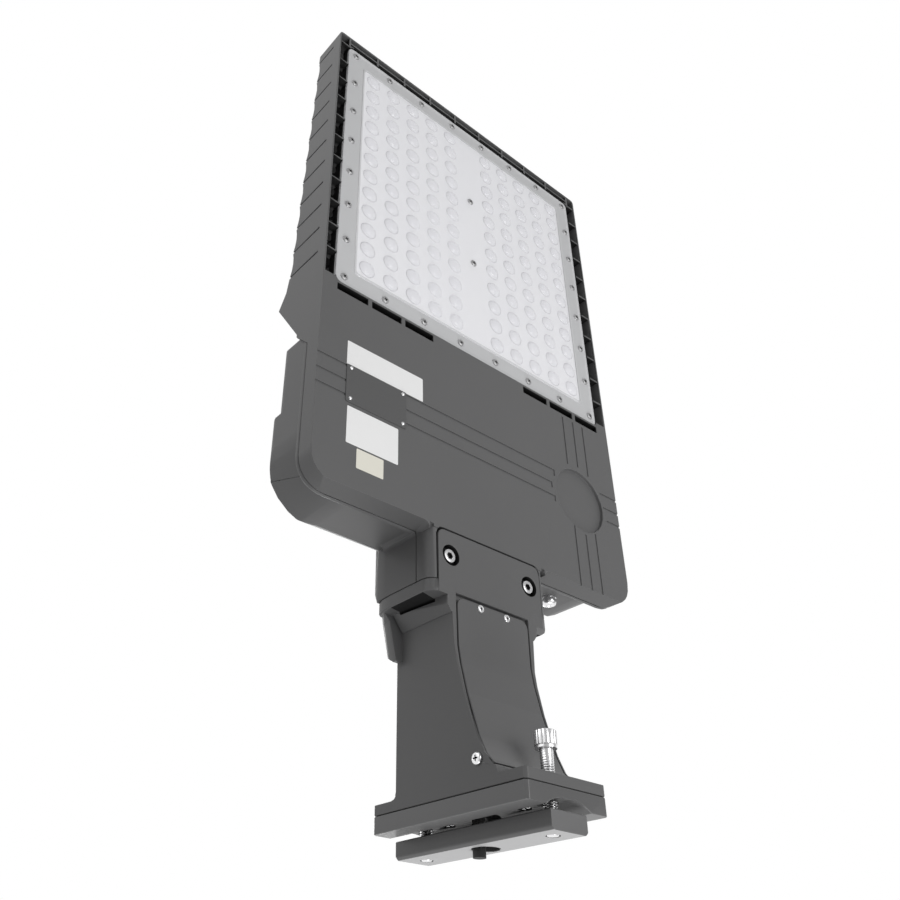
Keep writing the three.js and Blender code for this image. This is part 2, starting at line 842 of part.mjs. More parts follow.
// Room under the raised seam, so that the cover ends on the high end of the bay.
function seamRise() {
  const gap = sealThickness;
  const from = bayEnd - seamRiseLength;
  return prism('y', [
    [from, seamZ + gap], [bayEnd, veeZ + gap], [bayEnd + overrun, veeZ + gap],
    [bayEnd + overrun, seamZ - overrun], [from, seamZ - overrun],
  ], -headWidth, headWidth);
}

function driverCover() {
  const floor = seamZ + sealThickness;
  const flange = prism('z', headPlan(0, headStart, bayEnd, seatGap), floor, floor + coverFlange);
  const wedges = [-1, 1].map((s) => neckFilletWedge(s, coverStart, floor, coverZ - coverEdgeRadius));
  const ventHole = rod(
    'x', ventPlugStemRadius + seatGap, headStart - overrun, coverStart + coverWall + overrun,
    [ventPlugFromAxis, frontZ + ventPlugDepth],
  );
  return coverForm(0)
    .add(flange)
    .add(joined(wedges))
    .subtract(coverForm(coverWall))
    .subtract(seamRise())
    .subtract(ventHole);
}

// A thin seal that follows the seam between the housing and the cover.
function driverCoverGasket() {
  const rise = [bayEnd - seamRiseLength, bayEnd];
  const height = sealThickness - sealFit;
  const sheet = prism('y', [
    [neckStart, seamZ], [rise[0], seamZ], [rise[1], veeZ],
    [rise[1], veeZ + height], [rise[0], seamZ + height], [neckStart, seamZ + height],
  ], -headSide, headSide);
  const low = seamZ - overrun;
  const high = veeZ + overrun;
  const outline = (inset) => {
    const box = prism('z', headPlan(inset, headStart + inset, bayEnd - inset, seatGap), low, high);
    const startX = neckStart - (inset > sealInset ? overrun : 0);
    const neck = block(
      [startX, headStart + headCornerRadius], [-neckSide + inset, neckSide - inset], [low, high],
    );
    return box.add(neck);
  };
  return sheet.intersect(outline(sealInset)).subtract(outline(sealInset + sealWidth));
}

// One clear moulding: a flat sheet with a dome over each diode.
function lensPanel() {
  const sheet = prism('z', lensOutline(0), lensFrontZ, lensBackZ);
  const pitchX = (lensLength - 2 * domeEndMargin) / (domeRows - 1);
  const pitchY = (lensSide - domeSideMargin) / domesEachSide;
  const domes = [];
  for (let i = 0; i < domeRows; i += 1) {
    for (let k = 1; k <= domesEachSide; k += 1) {
      const x = lensStart + domeEndMargin + i * pitchX;
      [-k, k].forEach((column) => {
        domes.push(turned('z', [
          [0, -domeHeight], [domeTopRadius, -domeHeight], [domeRadius, 0],
          [domeRadius, lensSheet / 2], [0, lensSheet / 2],
        ], [x, column * pitchY, lensFrontZ], domeSides));
      });
    }
  }
  return sheet.add(joined(domes)).subtract(lensScrewHoles(lensFrontZ - overrun, lensBackZ + overrun));
}

function lensGasket() {
  return prism('z', lensOutline(seatGap), lensBackZ, ledgeZ)
    .subtract(block(
      [boardStart, boardEnd], [-boardSide, boardSide], [lensBackZ - overrun, ledgeZ + overrun],
    ))
    .subtract(lensScrewHoles(lensBackZ - overrun, ledgeZ + overrun));
}

function ledBoard(side) {
  const board = block([boardStart, boardEnd], [boardGap / 2, boardSide], [baseZ - boardThickness, baseZ]);
  return side > 0 ? board : mirroredInY(board);
}

// A box with its four long edges cut off, standing on the front plate.
function module([x0, x1], [y0, y1], height) {
  const c = moduleChamfer;
  const top = plateZ + height;
  const section = [
    [y0, plateZ], [y1, plateZ], [y1, top - c], [y1 - c, top], [y0 + c, top], [y0, top - c],
  ];
  return prism('x', section, x0, x1);
}

function ledDriver() {
  const end = bayEnd - driverFromBayEnd;
  const start = -headSide + driverEdgeFromSide;
  return module([end - driverWidth, end], [start, start + driverLength], driverHeight);
}

function surgeProtector() {
  const start = headStart + surgeFromHeadStart;
  const middle = surgeFromSide - headSide;
  return module(
    [start, start + surgeWidth], [middle - surgeLength / 2, middle + surgeLength / 2], surgeHeight,
  );
}

function terminalBlock() {
  const start = headStart + terminalFromHeadStart;
  return module([start, start + terminalLength], [-terminalWidth / 2, terminalWidth / 2], terminalHeight);
}

// Seals the lead in the bulkhead: a nut in the neck, and a body that passes into the bay.
function leadGland() {
  const face = headStart - seatGap;
  const profile = [
    [glandBoreRadius, -glandNutLength], [glandNutRadius, -glandNutLength], [glandNutRadius, 0],
    [glandBodyRadius, 0], [glandBodyRadius, glandBodyLength], [glandBoreRadius, glandBodyLength],
    [glandBoreRadius, -glandNutLength],
  ];
  return turned('x', profile, [face, 0, leadHeight]);
}

function supplyLead() {
  const terminalX = headStart + terminalFromHeadStart - seatGap;
  const curve = new THREE.CatmullRomCurve3([
    new THREE.Vector3(terminalX, 0, leadHeight),
    new THREE.Vector3(neckStart, 0, leadHeight),
    new THREE.Vector3(flangeEnd + armLength / 2, leadEndSide / 2, (leadHeight + leadEndHeight) / 2),
    new THREE.Vector3(flangeEnd, leadEndSide, leadEndHeight),
    new THREE.Vector3(barBackX - leadStub, leadEndSide, leadEndHeight),
  ]);
  const section = new THREE.Shape();
  for (let k = 0; k < leadSides; k += 1) {
    const angle = 2 * Math.PI * k / leadSides;
    const [a, b] = [leadRadius * Math.cos(angle), leadRadius * Math.sin(angle)];
    if (k === 0) section.moveTo(a, b);
    else section.lineTo(a, b);
  }
  section.closePath();
  const options = { steps: leadSteps, extrudePath: curve, bevelEnabled: false };
  return solidOf(new THREE.ExtrudeGeometry(section, options));
}

// Breather plug in the end face of the cover, beside the neck.
function ventPlug() {
  return turned('x', [
    [0, -ventPlugHeight], [ventPlugRadius - ventPlugBevel, -ventPlugHeight],
    [ventPlugRadius, -ventPlugHeight + ventPlugBevel], [ventPlugRadius, 0],
    [ventPlugStemRadius, 0], [ventPlugStemRadius, ventPlugStemLength], [0, ventPlugStemLength],
  ], [coverStart, ventPlugFromAxis, frontZ + ventPlugDepth]);
}

// Front line of the arm in side view, which the wiring cover follows too.
function armFrontLine(inset) {
  return armFlareShares.map(([along, flare]) => [
    flangeEnd + along * armLength, frontZ - flare * armFlare + inset,
  ]);
}

// Height of the arm's front face where the wiring cover starts.
function armFrontAtFoot() {
  const line = armFrontLine(0);
  const after = line.findIndex(([x]) => x > wiringCoverStart);
  const [[x0, z0], [x1, z1]] = [line[after - 1], line[after]];
  return THREE.MathUtils.mapLinear(wiringCoverStart, x0, x1, z0, z1);
}

function armBody(inset) {
  const back = [[collarEnd, armBackAtCollar - inset], [flangeEnd, armBackAtFlange - inset]];
  const line = armFrontLine(inset);
  const profile = [...line, [collarEnd, frontZ + inset], ...back];
  const nearSide = armWidthAtFlange / 2 - inset;
  const farSide = armWidthAtCollar / 2 - inset;
  const plan = [[flangeEnd, -nearSide], [collarEnd, -farSide], [collarEnd, farSide], [flangeEnd, nearSide]];
  const depth = armFlare + armFlare + axisToFront;
  return prism('y', profile, -headSide, headSide).intersect(prism('z', plan, -depth, depth));
}

// Collar behind the neck: a thin band of the neck's own section, a short flare under it, and
// a hump that narrows along the back of the arm.
function collar() {
  const top = frontZ + collarDepth;
  const flareZ = frontZ + flareTop;
  const band = prism('x', neckSection(0, top), collarX, collarEnd)
    .intersect(block([collarX, collarEnd], [-neckSide, neckSide], [frontZ, top]));
  const flareStart = collarX - flareLength;
  const [near, low] = [flareWidth / 2, flareFrontWidth / 2];
  const flare = prism('z', [
    [collarEnd, -near], [collarX, -near], [flareStart, -armWidthAtCollar / 2],
    [flareStart, armWidthAtCollar / 2], [collarX, near], [collarEnd, near],
  ], frontZ, flareZ).intersect(prism('x', [
    new THREE.Vector2(-low, frontZ), new THREE.Vector2(low, frontZ),
    new THREE.Vector2(near, flareZ), new THREE.Vector2(-near, flareZ),
  ], flareStart, collarEnd));
  const slot = [-1, 1].map((s) => block(
    [collarX - collarSlotHeight, collarX],
    s < 0 ? [-neckSide, -armWidthAtCollar / 2] : [armWidthAtCollar / 2, neckSide],
    [frontZ + collarSlotFromFront, frontZ + collarSlotFromFront + collarSlotWidth],
  ));
  const humpStart = collarX - humpLength;
  const humpZ = armBackAtCollar - armWall;
  const humpTop = frontZ + humpDepth;
  const humpOutline = (width, rear) => [
    new THREE.Vector2(-width / 2, humpZ), new THREE.Vector2(width / 2, humpZ),
    ...rearRounding(width / 2, rear, humpRound),
  ];
  const hump = lofted([
    [humpStart, humpOutline(humpWidthAtEnd, humpTop)],
    [collarX - humpStep, humpOutline(humpWidthAtStep, humpTop)],
    [collarX, humpOutline(humpWidthAtCollar, top)],
  ]).intersect(prism('y', [
    [collarX, humpZ], [collarX, humpTop], [humpStart + humpSlope, humpTop],
    [humpStart, armBackAtCollar], [humpStart, humpZ],
  ], -neckSide, neckSide));
  return joined([band, flare, hump]).subtract(joined(slot));
}

function tongue() {
  const side = tongueSide;
  const shoulder = side - tongueShoulder;
  const armSide = armWidthAtCollar / 2;
  return prism('z', rounded([
    [collarX - tongueTaper, -armSide], [collarX, -shoulder], [collarX, -side],
    [tongueEnd, -side, tongueCornerRadius], [tongueEnd, side, tongueCornerRadius],
    [collarX, side], [collarX, shoulder], [collarX - tongueTaper, armSide],
  ], smallArcSteps), frontZ, tongueBackZ);
}

// Hollow corner where the back of the arm meets its flange.
function flangeFilletWedge() {
  const points = [
    [flangeEnd - seatGap, armBackAtFlange - armWall],
    [flangeEnd - seatGap, armBackAtFlange + flangeFillet],
  ];
  for (let k = 0; k <= smallArcSteps; k += 1) {
    const angle = Math.PI / 2 * k / smallArcSteps;
    points.push([
      flangeEnd + flangeFillet * (1 - Math.cos(angle)),
      armBackAtFlange + flangeFillet * (1 - Math.sin(angle)),
    ]);
  }
  points.push([flangeEnd + flangeFillet, armBackAtFlange - armWall]);
  return prism('y', points, -flangeSide, flangeSide);
}

// Room for the wiring cover in the front of the arm, with a ledge that it lies on.
function wiringCoverForm(fit, depth) {
  const front = armFrontLine(-overrun);
  const back = armFrontLine(depth).reverse();
  const end = wiringCoverEnd + fit;
  const profile = [...front, [end, frontZ - overrun], [end, frontZ + depth], ...back];
  return prism('y', profile, -wiringCoverSide - fit, wiringCoverSide + fit)
    .intersect(block([wiringCoverStart - fit, end], [-headSide, headSide], [-headSide, headSide]));
}

function wiringScrewPlaces() {
  return [-1, 1].map((side) => [wiringCoverEnd - wiringScrewFromTop, side * wiringScrewSpacing / 2]);
}

function arm() {
  const flange = prism('x', rounded([
    [-flangeSide, -flangeTop], [flangeSide, -flangeTop], [flangeSide, flangeTop], [-flangeSide, flangeTop],
  ].map(([y, z]) => [y, z, flangeChamfer]), 1), flangeStart, flangeEnd);
  const window = block(
    [wiringCoverStart + wiringLedge, collarX - 2 * wiringLedge],
    [-wiringCoverSide + wiringLedge, wiringCoverSide - wiringLedge], [-headSide, 0],
  );
  const hollow = armBody(armWall + wiringCoverThickness);
  const passage = block(
    [flangeEnd + armLength / 2, collarEnd + overrun],
    [-flangeSide + armWall, flangeSide - armWall],
    [tongueBackZ + armWall, armBackAtCollar - armWall],
  );
  const leadHole = rod(
    'x', leadHoleRadius, flangeStart - overrun, flangeEnd + overrun, [0, 0], largeRoundSides,
  );
  const poleHoles = [-poleBoltZ, poleBoltZ].map((z) => rod(
    'x', poleBoltHole, flangeStart - overrun, flangeEnd + overrun, [0, z],
  ));
  const sinks = [-neckBoltY, neckBoltY].map((y) => rod(
    'z', neckBoltSinkRadius, frontZ - overrun, frontZ + neckBoltSinkDepth, [neckBoltX, y], largeRoundSides,
  ));
  const neckHoles = [-neckBoltY, neckBoltY].map((y) => rod(
    'z', neckBoltRadius + seatGap, frontZ, tongueBackZ + overrun, [neckBoltX, y],
  ));
  const coverHoles = wiringScrewPlaces().map((place) => rod(
    'z', smallScrewHole, frontZ, frontZ + smallScrewLength + seatGap, place, holeSides,
  ));
  const sideHole = rod(
    'y', smallScrewHole, -armWidthAtCollar, -flangeSide + smallScrewLength,
    [flangeEnd + sideScrewFromFlange, -sideScrewDrop], holeSides,
  );
  const adapterHoles = [-1, 1].map((end) => rod(
    'x', adapterScrewRadius + seatGap, flangeStart - overrun, flangeStart + flangeThickness - seatGap,
    [0, end * adapterScrewSpacing / 2], holeSides,
  ));
  const topGap = block(
    [wiringCoverEnd, wiringCoverEnd + wiringCoverTopGap],
    [-wiringCoverSide - wiringCoverFit, wiringCoverSide + wiringCoverFit],
    [frontZ - overrun, frontZ + wiringCoverThickness + seatGap],
  );
  const footGap = block(
    [wiringCoverStart - footGapLength, wiringCoverStart],
    [-footGapWidth / 2, footGapWidth / 2], [-headSide, armFrontAtFoot() + footGapDepth],
  );
  return armBody(0)
    .add(flange)
    .add(flangeFilletWedge())
    .add(collar())
    .add(tongue())
    .subtract(hollow)
    .subtract(passage)
    .subtract(wiringCoverForm(wiringCoverFit, wiringCoverThickness + seatGap))
    .subtract(topGap)
    .subtract(footGap)
    .subtract(window)
    .subtract(leadHole)
    .subtract(joined([...poleHoles, ...sinks, ...neckHoles, ...coverHoles, ...adapterHoles]))
    .subtract(sideHole);
}

function wiringCover() {
  const corner = (side) => {
    const r = tongueCornerRadius;
    const points = [[wiringCoverEnd, side * wiringCoverSide]];
    for (let k = 0; k <= smallArcSteps; k += 1) {
      const angle = Math.PI / 2 * k / smallArcSteps;
      points.push([
        wiringCoverEnd - r + r * Math.sin(angle), side * (wiringCoverSide - r + r * Math.cos(angle)),
      ]);
    }
    return prism('z', points, frontZ - overrun, frontZ + armWall);
  };
  const outside = prism('y', [
    ...armFrontLine(0), [wiringCoverEnd, frontZ], [wiringCoverEnd, -headSide], [flangeEnd, -headSide],
  ], -headSide, headSide);
  return wiringCoverForm(0, wiringCoverThickness)
    .subtract(outside)
    .subtract(joined([corner(-1), corner(1)]))
    .subtract(joined(wiringScrewPlaces().map((place) => rod(
      'z', smallScrewHole, frontZ - overrun, frontZ + armWall + overrun, place, holeSides,
    ))));
}

// Screws and bolts are turned along their own axis, with the seat of the head at zero.
function fastener(headRadius, headHeight, radius, length, socket, sides = holeSides) {
  const dome = headRadius * headTopShare;
  const head = turned('z', [
    [0, -headHeight], [dome, -headHeight], [headRadius, -headHeight / 2], [headRadius, 0],
    [radius, 0], [radius, length], [0, length],
  ], [0, 0, 0], sides);
  if (!socket) return head;
  const hex = rod(
    'z', socket.radius, -headHeight - overrun, -headHeight + socket.depth, [0, 0], socketSides,
  );
  return head.subtract(hex);
}

function poleBolt() {
  const length = washerX + washerThickness - barBackX;
  const profile = [
    [0, -poleBoltHeadHeight], [poleBoltHeadRadius - flatWasherRelief, -poleBoltHeadHeight],
    [poleBoltHeadRadius, -poleBoltHeadHeight + flatWasherRelief], [poleBoltHeadRadius, 0],
    [poleBoltRadius, 0], [poleBoltRadius, length], [0, length],
  ];
  const socket = rod('z', poleSocketRadius, -poleBoltHeadHeight - overrun,
    -poleBoltHeadHeight + poleSocketDepth, [0, 0], socketSides);
  return turned('z', profile, [0, 0, 0], roundSides).subtract(socket);
}

function poleWasher() {
  return rod('z', washerRadius, -washerThickness, 0, [0, 0], roundSides)
    .subtract(rod('z', washerHole, -washerThickness - overrun, overrun, [0, 0], roundSides));
}

function plateHoles(from, to, boltRadius) {
  return joined([
    ...[-poleBoltZ, poleBoltZ].map((z) => rod('x', boltRadius, from, to, [0, z])),
    ...[-1, 1].map((end) => rod(
      'x', adapterScrewRadius + seatGap, from, to, [0, end * adapterScrewSpacing / 2], holeSides,
    )),
    rod('x', leadHoleRadius, from, to, [0, 0], largeRoundSides),
  ]);
}

function adapterOutline(inset) {
  return rounded([[-1, -1], [1, -1], [1, 1], [-1, 1]].map(([y, z]) => [
    y * (flangeSide - inset), z * (flangeTop - inset), flangeChamfer,
  ]), 1);
}

function poleAdapter() {
  const pole = rod('z', poleRadius, -flangeTop - overrun, flangeTop + overrun,
    [poleSeatDepth - poleRadius, 0], poleSeatSides);
  const sinks = [-1, 1].map((end) => rod('x', adapterScrewHeadRadius + seatGap, 0,
    poleSeatDepth + adapterScrewHeadHeight, [0, end * adapterScrewSpacing / 2]));
  return prism('x', adapterOutline(0), 0, adapterThickness)
    .subtract(pole)
    .subtract(joined(sinks))
    .subtract(plateHoles(-overrun, adapterThickness + overrun, poleBoltHole));
}

function adapterSeal() {
  return prism('x', adapterOutline(adapterGasketInset), adapterThickness, flangeStart)
    .subtract(plateHoles(adapterThickness - overrun, flangeStart + overrun, poleBoltHole));
}

function clampBar() {
  const side = barWidth / 2;
  const plan = rounded([
    [barBackX, -side, barChamfer], [barFrontX, -side], [barFrontX, side], [barBackX, side, barChamfer],
  ], 1);
  return prism('z', plan, -barTop, barTop)
    .subtract(joined([-poleBoltZ, poleBoltZ].map((z) => rod(
      'x', poleBoltThread, barBackX - overrun, barFrontX + overrun, [0, z],
    ))))
    .subtract(rod('x', barHoleRadius, barBackX - overrun, barFrontX + overrun, [0, 0], largeRoundSides));
}

// Finishes: colour, roughness and metalness of each material

const finishes = {
  darkPaint: { color: 0x5c5e60, roughness: 0.55, metalness: 0.15 },
  boltSteel: { color: 0xb9bbbd, roughness: 0.3, metalness: 1 },
  bareCasting: { color: 0xa9abad, roughness: 0.45, metalness: 0.9 },
  clearPlastic: { color: 0xf2f4f6, roughness: 0.08, metalness: 0, transparent: true, opacity: 0.35 },
  whiteBoard: { color: 0xf3f4f2, roughness: 0.5, metalness: 0 },
  paleSilicone: { color: 0xb9bbb8, roughness: 0.7, metalness: 0 },
  blackRubber: { color: 0x1c1d1f, roughness: 0.75, metalness: 0 },
  driverCase: { color: 0xc2c4c6, roughness: 0.4, metalness: 0.8 },
  blackNylon: { color: 0x232427, roughness: 0.5, metalness: 0 },
};

const light = new THREE.Group();

function place(name, solid, finish, group = light) {
  const mesh = new THREE.Mesh(geometryOf(solid), new THREE.MeshStandardMaterial(finishes[finish]));
  mesh.name = name;
  group.add(mesh);
  return mesh;
}

place('front_housing', frontHousing(), 'darkPaint');
place('driver_cover', driverCover(), 'darkPaint');
place('driver_cover_gasket', driverCoverGasket(), 'blackRubber');
place('lens_panel', lensPanel(), 'clearPlastic');
place('lens_gasket', lensGasket(), 'paleSilicone');
place('led_board_left', ledBoard(-1), 'whiteBoard');
place('led_board_right', ledBoard(1), 'whiteBoard');
place('led_driver', ledDriver(), 'driverCase');
place('surge_protector', surgeProtector(), 'blackNylon');
place('terminal_block', terminalBlock(), 'blackNylon');
place('lead_gland', leadGland(), 'blackNylon');
place('supply_lead', supplyLead(), 'blackRubber');
place('vent_plug', ventPlug(), 'boltSteel');
place('arm', arm(), 'darkPaint');
place('wiring_cover', wiringCover(), 'darkPaint');
place('pole_adapter', poleAdapter(), 'darkPaint');
place('adapter_gasket', adapterSeal(), 'blackRubber');
place('clamp_bar', clampBar(), 'bareCasting');

// Screws of the lens, seats on the front of the sheet
lensScrewPlaces().forEach(([x, y], i) => {
  const screw = turned('z', [
    [0, -lensScrewHeadHeight], [lensScrewHeadRadius * headTopShare, -lensScrewHeadHeight],
    [lensScrewHeadRadius, 0], [lensScrewRadius, 0], [lensScrewRadius, lensScrewLength],
    [0, lensScrewLength],
  ], [0, 0, 0], lensScrewSides);
  const mesh = place(`lens_screw_${String(i + 1).padStart(2, '0')}`, screw, 'boltSteel');
  mesh.position.set(x, y, lensFrontZ);
});

['left', 'right'].forEach((name, i) => {
  const side = 2 * i - 1;
  const socket = { radius: socketRadius, depth: socketDepth };
  const bolt = fastener(
    neckBoltHeadRadius, neckBoltHeadHeight, neckBoltRadius, neckBoltLength, socket, roundSides,
  );
  place(`neck_bolt_${name}`, bolt, 'boltSteel')
    .position.set(neckBoltX, side * neckBoltY, frontZ + neckBoltSinkDepth);
  const screw = fastener(smallScrewHeadRadius, smallScrewHeadHeight, smallScrewRadius, smallScrewLength);
  const [x, y] = wiringScrewPlaces()[i];
  place(`wiring_cover_screw_${name}`, screw, 'boltSteel').position.set(x, y, frontZ);
});

// Earth screw on the side of the arm, pointing along +Y
const sideScrew = place('arm_side_screw',
  fastener(sideScrewHeadRadius, sideScrewHeadHeight, smallScrewRadius, smallScrewLength), 'boltSteel');
const sideScrewX = flangeEnd + sideScrewFromFlange;
const sideScrewY = THREE.MathUtils.mapLinear(
  sideScrewX, flangeEnd, collarEnd, -armWidthAtFlange / 2, -armWidthAtCollar / 2,
);
sideScrew.rotation.x = -Math.PI / 2;
sideScrew.position.set(sideScrewX, sideScrewY - seatGap, -sideScrewDrop);

// Fasteners along X: pole bolts and their washers point to the pole, adapter screws to the arm
['lower', 'upper'].forEach((name, i) => {
  const side = 2 * i - 1;
  const bolt = place(`pole_bolt_${name}`, poleBolt(), 'boltSteel');
  bolt.rotation.y = -Math.PI / 2;
  bolt.position.set(washerX + washerThickness, 0, side * poleBoltZ);
  const washer = place(`pole_washer_${name}`, poleWasher(), 'boltSteel');
  washer.rotation.y = -Math.PI / 2;
  washer.position.set(washerX, 0, side * poleBoltZ);
  const screw = place(`adapter_screw_${name}`, fastener(
    adapterScrewHeadRadius, adapterScrewHeadHeight, adapterScrewRadius, adapterScrewLength,
  ), 'boltSteel');
  screw.rotation.y = Math.PI / 2;
  screw.position.set(poleSeatDepth + adapterScrewHeadHeight, 0, side * adapterScrewSpacing / 2);
});

export default light;
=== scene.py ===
# %% [markdown]
# # A shoebox area light, dressed for the studio
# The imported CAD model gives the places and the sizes. This lesson gives each piece the look
# of the real one: cast housings with soft edges and powder coat, a clear moulded lens over
# white boards, bright screws and bolts, seals, and the wiring inside the driver bay.
# Every length is in metres, and the frame is never moved.

import json
import math

import bmesh
import bpy
from mathutils import Matrix, Vector

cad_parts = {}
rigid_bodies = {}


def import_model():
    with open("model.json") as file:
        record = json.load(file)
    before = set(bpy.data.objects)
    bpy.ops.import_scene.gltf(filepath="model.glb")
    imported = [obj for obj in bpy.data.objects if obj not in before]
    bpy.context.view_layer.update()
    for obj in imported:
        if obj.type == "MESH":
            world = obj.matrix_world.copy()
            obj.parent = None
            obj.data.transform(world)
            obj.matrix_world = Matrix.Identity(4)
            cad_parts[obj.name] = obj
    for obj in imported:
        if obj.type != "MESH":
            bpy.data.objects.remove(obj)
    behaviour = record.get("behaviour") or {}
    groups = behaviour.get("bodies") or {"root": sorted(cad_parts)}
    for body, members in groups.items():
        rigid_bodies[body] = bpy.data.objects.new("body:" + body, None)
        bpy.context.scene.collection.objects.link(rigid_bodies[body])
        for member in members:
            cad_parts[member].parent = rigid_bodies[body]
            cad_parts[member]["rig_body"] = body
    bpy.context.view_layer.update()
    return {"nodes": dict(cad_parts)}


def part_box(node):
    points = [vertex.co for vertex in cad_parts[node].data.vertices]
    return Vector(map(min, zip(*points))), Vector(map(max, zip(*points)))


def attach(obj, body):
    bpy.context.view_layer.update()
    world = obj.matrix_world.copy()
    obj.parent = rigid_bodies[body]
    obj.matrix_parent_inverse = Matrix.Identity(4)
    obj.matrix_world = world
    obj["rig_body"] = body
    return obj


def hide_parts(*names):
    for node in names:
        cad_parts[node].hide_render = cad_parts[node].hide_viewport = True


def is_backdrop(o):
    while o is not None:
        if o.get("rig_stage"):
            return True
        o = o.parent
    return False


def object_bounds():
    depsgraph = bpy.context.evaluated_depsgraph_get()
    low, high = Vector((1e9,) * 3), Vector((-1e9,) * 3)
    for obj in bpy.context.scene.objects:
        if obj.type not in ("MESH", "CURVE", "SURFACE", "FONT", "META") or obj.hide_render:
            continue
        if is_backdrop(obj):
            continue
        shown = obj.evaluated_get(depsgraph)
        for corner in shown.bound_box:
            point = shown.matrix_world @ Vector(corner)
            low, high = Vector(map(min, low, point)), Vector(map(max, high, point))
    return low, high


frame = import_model()
nodes = frame["nodes"]


def linked(name, data):
    """A new object in the scene."""
    made = bpy.data.objects.new(name, data)
    bpy.context.scene.collection.objects.link(made)
    return made


print("nodes in the frame:", len(nodes))

# %% [markdown]
# ## Camera, light and floor
# The photograph was taken from below and from the left with a long lens, so the lens face
# of the light is turned to the viewer. The camera's three axes come from a fit of known
# corners to the photograph. The world is white where the camera, gloss or clear plastic
# sees it, and a plain level otherwise, so paint renders about as its colour is written.
# One large lamp faces the pole end, one lies below the lens and one stands beside the head,
# so each side of the light has a tone of its own. A fourth lights the rear and the floor.

# %% Camera
SENSOR_WIDTH = 36
FOCAL_LENGTH = 36.7
FRAME_SHIFT = (0.0742, -0.0034)
NEAREST, FARTHEST = 0.01, 100
CAMERA_PLACE = (-0.12609, -0.44365, -0.44824)
TO_RIGHT = (0.0161, 0.7779, -0.6282)
TO_TOP = (0.8312, -0.3597, -0.4240)
FROM_OBJECT = (-0.5558, -0.5153, -0.6524)

camera_data = bpy.data.cameras.new("photo_camera")
camera_data.sensor_width = SENSOR_WIDTH
camera_data.lens = FOCAL_LENGTH
camera_data.shift_x, camera_data.shift_y = FRAME_SHIFT
camera_data.clip_start, camera_data.clip_end = NEAREST, FARTHEST
camera = linked("photo_camera", camera_data)
bpy.context.scene.camera = camera
turn = Matrix((TO_RIGHT, TO_TOP, FROM_OBJECT)).transposed().to_4x4()
camera.matrix_world = Matrix.Translation(CAMERA_PLACE) @ turn
print("camera at", [round(v, 3) for v in camera.location])

# %% World
AMBIENT_LEVEL = 0.37
BACKDROP_LEVEL = 1.0
WHITE = (1, 1, 1, 1)


def set_inputs(node, values):
    """Gives inputs of a node their values, by name or number."""
    for socket, value in values.items():
        node.inputs[socket].default_value = value


def add_node(tree, kind, inputs=None, **settings):
    """A new node with its settings, such as operation, and values for its inputs."""
    made = tree.nodes.new(kind)
    for name, value in settings.items():
        setattr(made, name, value)
    set_inputs(made, inputs or {})
    return made


def link(source, output, target, socket):
    """Joins an output of one node to an input of another."""
    source.id_data.links.new(source.outputs[output], target.inputs[socket])


bpy.context.scene.view_settings.view_transform = "Standard"
world = bpy.data.worlds.new("studio")
bpy.context.scene.world = world
world.use_nodes = True
sky = world.node_tree.nodes["Background"]
ray = add_node(world.node_tree, "ShaderNodeLightPath")
either = add_node(world.node_tree, "ShaderNodeMath", operation="MAXIMUM")
any_clear = add_node(world.node_tree, "ShaderNodeMath", operation="MAXIMUM")
level = add_node(world.node_tree, "ShaderNodeMapRange",
                 {"To Min": AMBIENT_LEVEL, "To Max": BACKDROP_LEVEL})
link(ray, "Is Camera Ray", either, 0)
link(ray, "Is Glossy Ray", either, 1)
link(either, 0, any_clear, 0)
link(ray, "Is Transmission Ray", any_clear, 1)
link(any_clear, 0, level, "Value")
link(level, "Result", sky, "Strength")
set_inputs(sky, {"Color": WHITE})
print("world levels:", AMBIENT_LEVEL, "and", BACKDROP_LEVEL)


# %% Lamps
def lamp(name, place, target, size, power):
    """A round area lamp of that width, aimed at a point."""
    data = bpy.data.lights.new(name, "AREA")
    data.shape = "DISK"
    data.size = size
    data.energy = power
    piece = linked(name, data)
    piece.location = place
    toward = Vector(target) - Vector(place)
    piece.rotation_euler = toward.to_track_quat("-Z", "Y").to_euler()


lamp("end_lamp", place=(-1.2, 0.15, -0.4), target=(0.1, 0, 0), size=0.8, power=10)
lamp("lens_lamp", place=(0.25, 0.2, -1.4), target=(0.3, 0, 0), size=1.0, power=8.5)
lamp("side_lamp", place=(1.1, -1.2, 0.1), target=(0.5, 0, 0), size=1.0, power=5)
lamp("rear_lamp", place=(0.5, 0.9, 1.9), target=(0.3, 0, 0), size=1.6, power=26)

# %% [markdown]
# ## Node helpers
# The finishes here share small effects: a fine grain, slow mottling of the colour, and, on
# steel and the clamp bar's coat, a painted edge highlight that lightens convex edges. Each
# is a node group, built once, with named sockets. A material holds its own shader and
# places the groups with its own values.


# %% Building a node group
FLOAT, COLOUR = "NodeSocketFloat", "NodeSocketColor"


def new_group(name, inputs, outputs):
    """inputs and outputs are (name, kind, start value) and (name, kind)."""
    tree = bpy.data.node_groups.new(name, "ShaderNodeTree")
    for title, kind, start in inputs:
        socket = tree.interface.new_socket(name=title, in_out="INPUT", socket_type=kind)
        socket.default_value = start
    for title, kind in outputs:
        tree.interface.new_socket(name=title, in_out="OUTPUT", socket_type=kind)
    return tree, tree.nodes.new("NodeGroupInput"), tree.nodes.new("NodeGroupOutput")


# %% Grain and mottle
FINE_SHARE = 0.4
FINE_DETAIL, SLOW_DETAIL = 2, 3

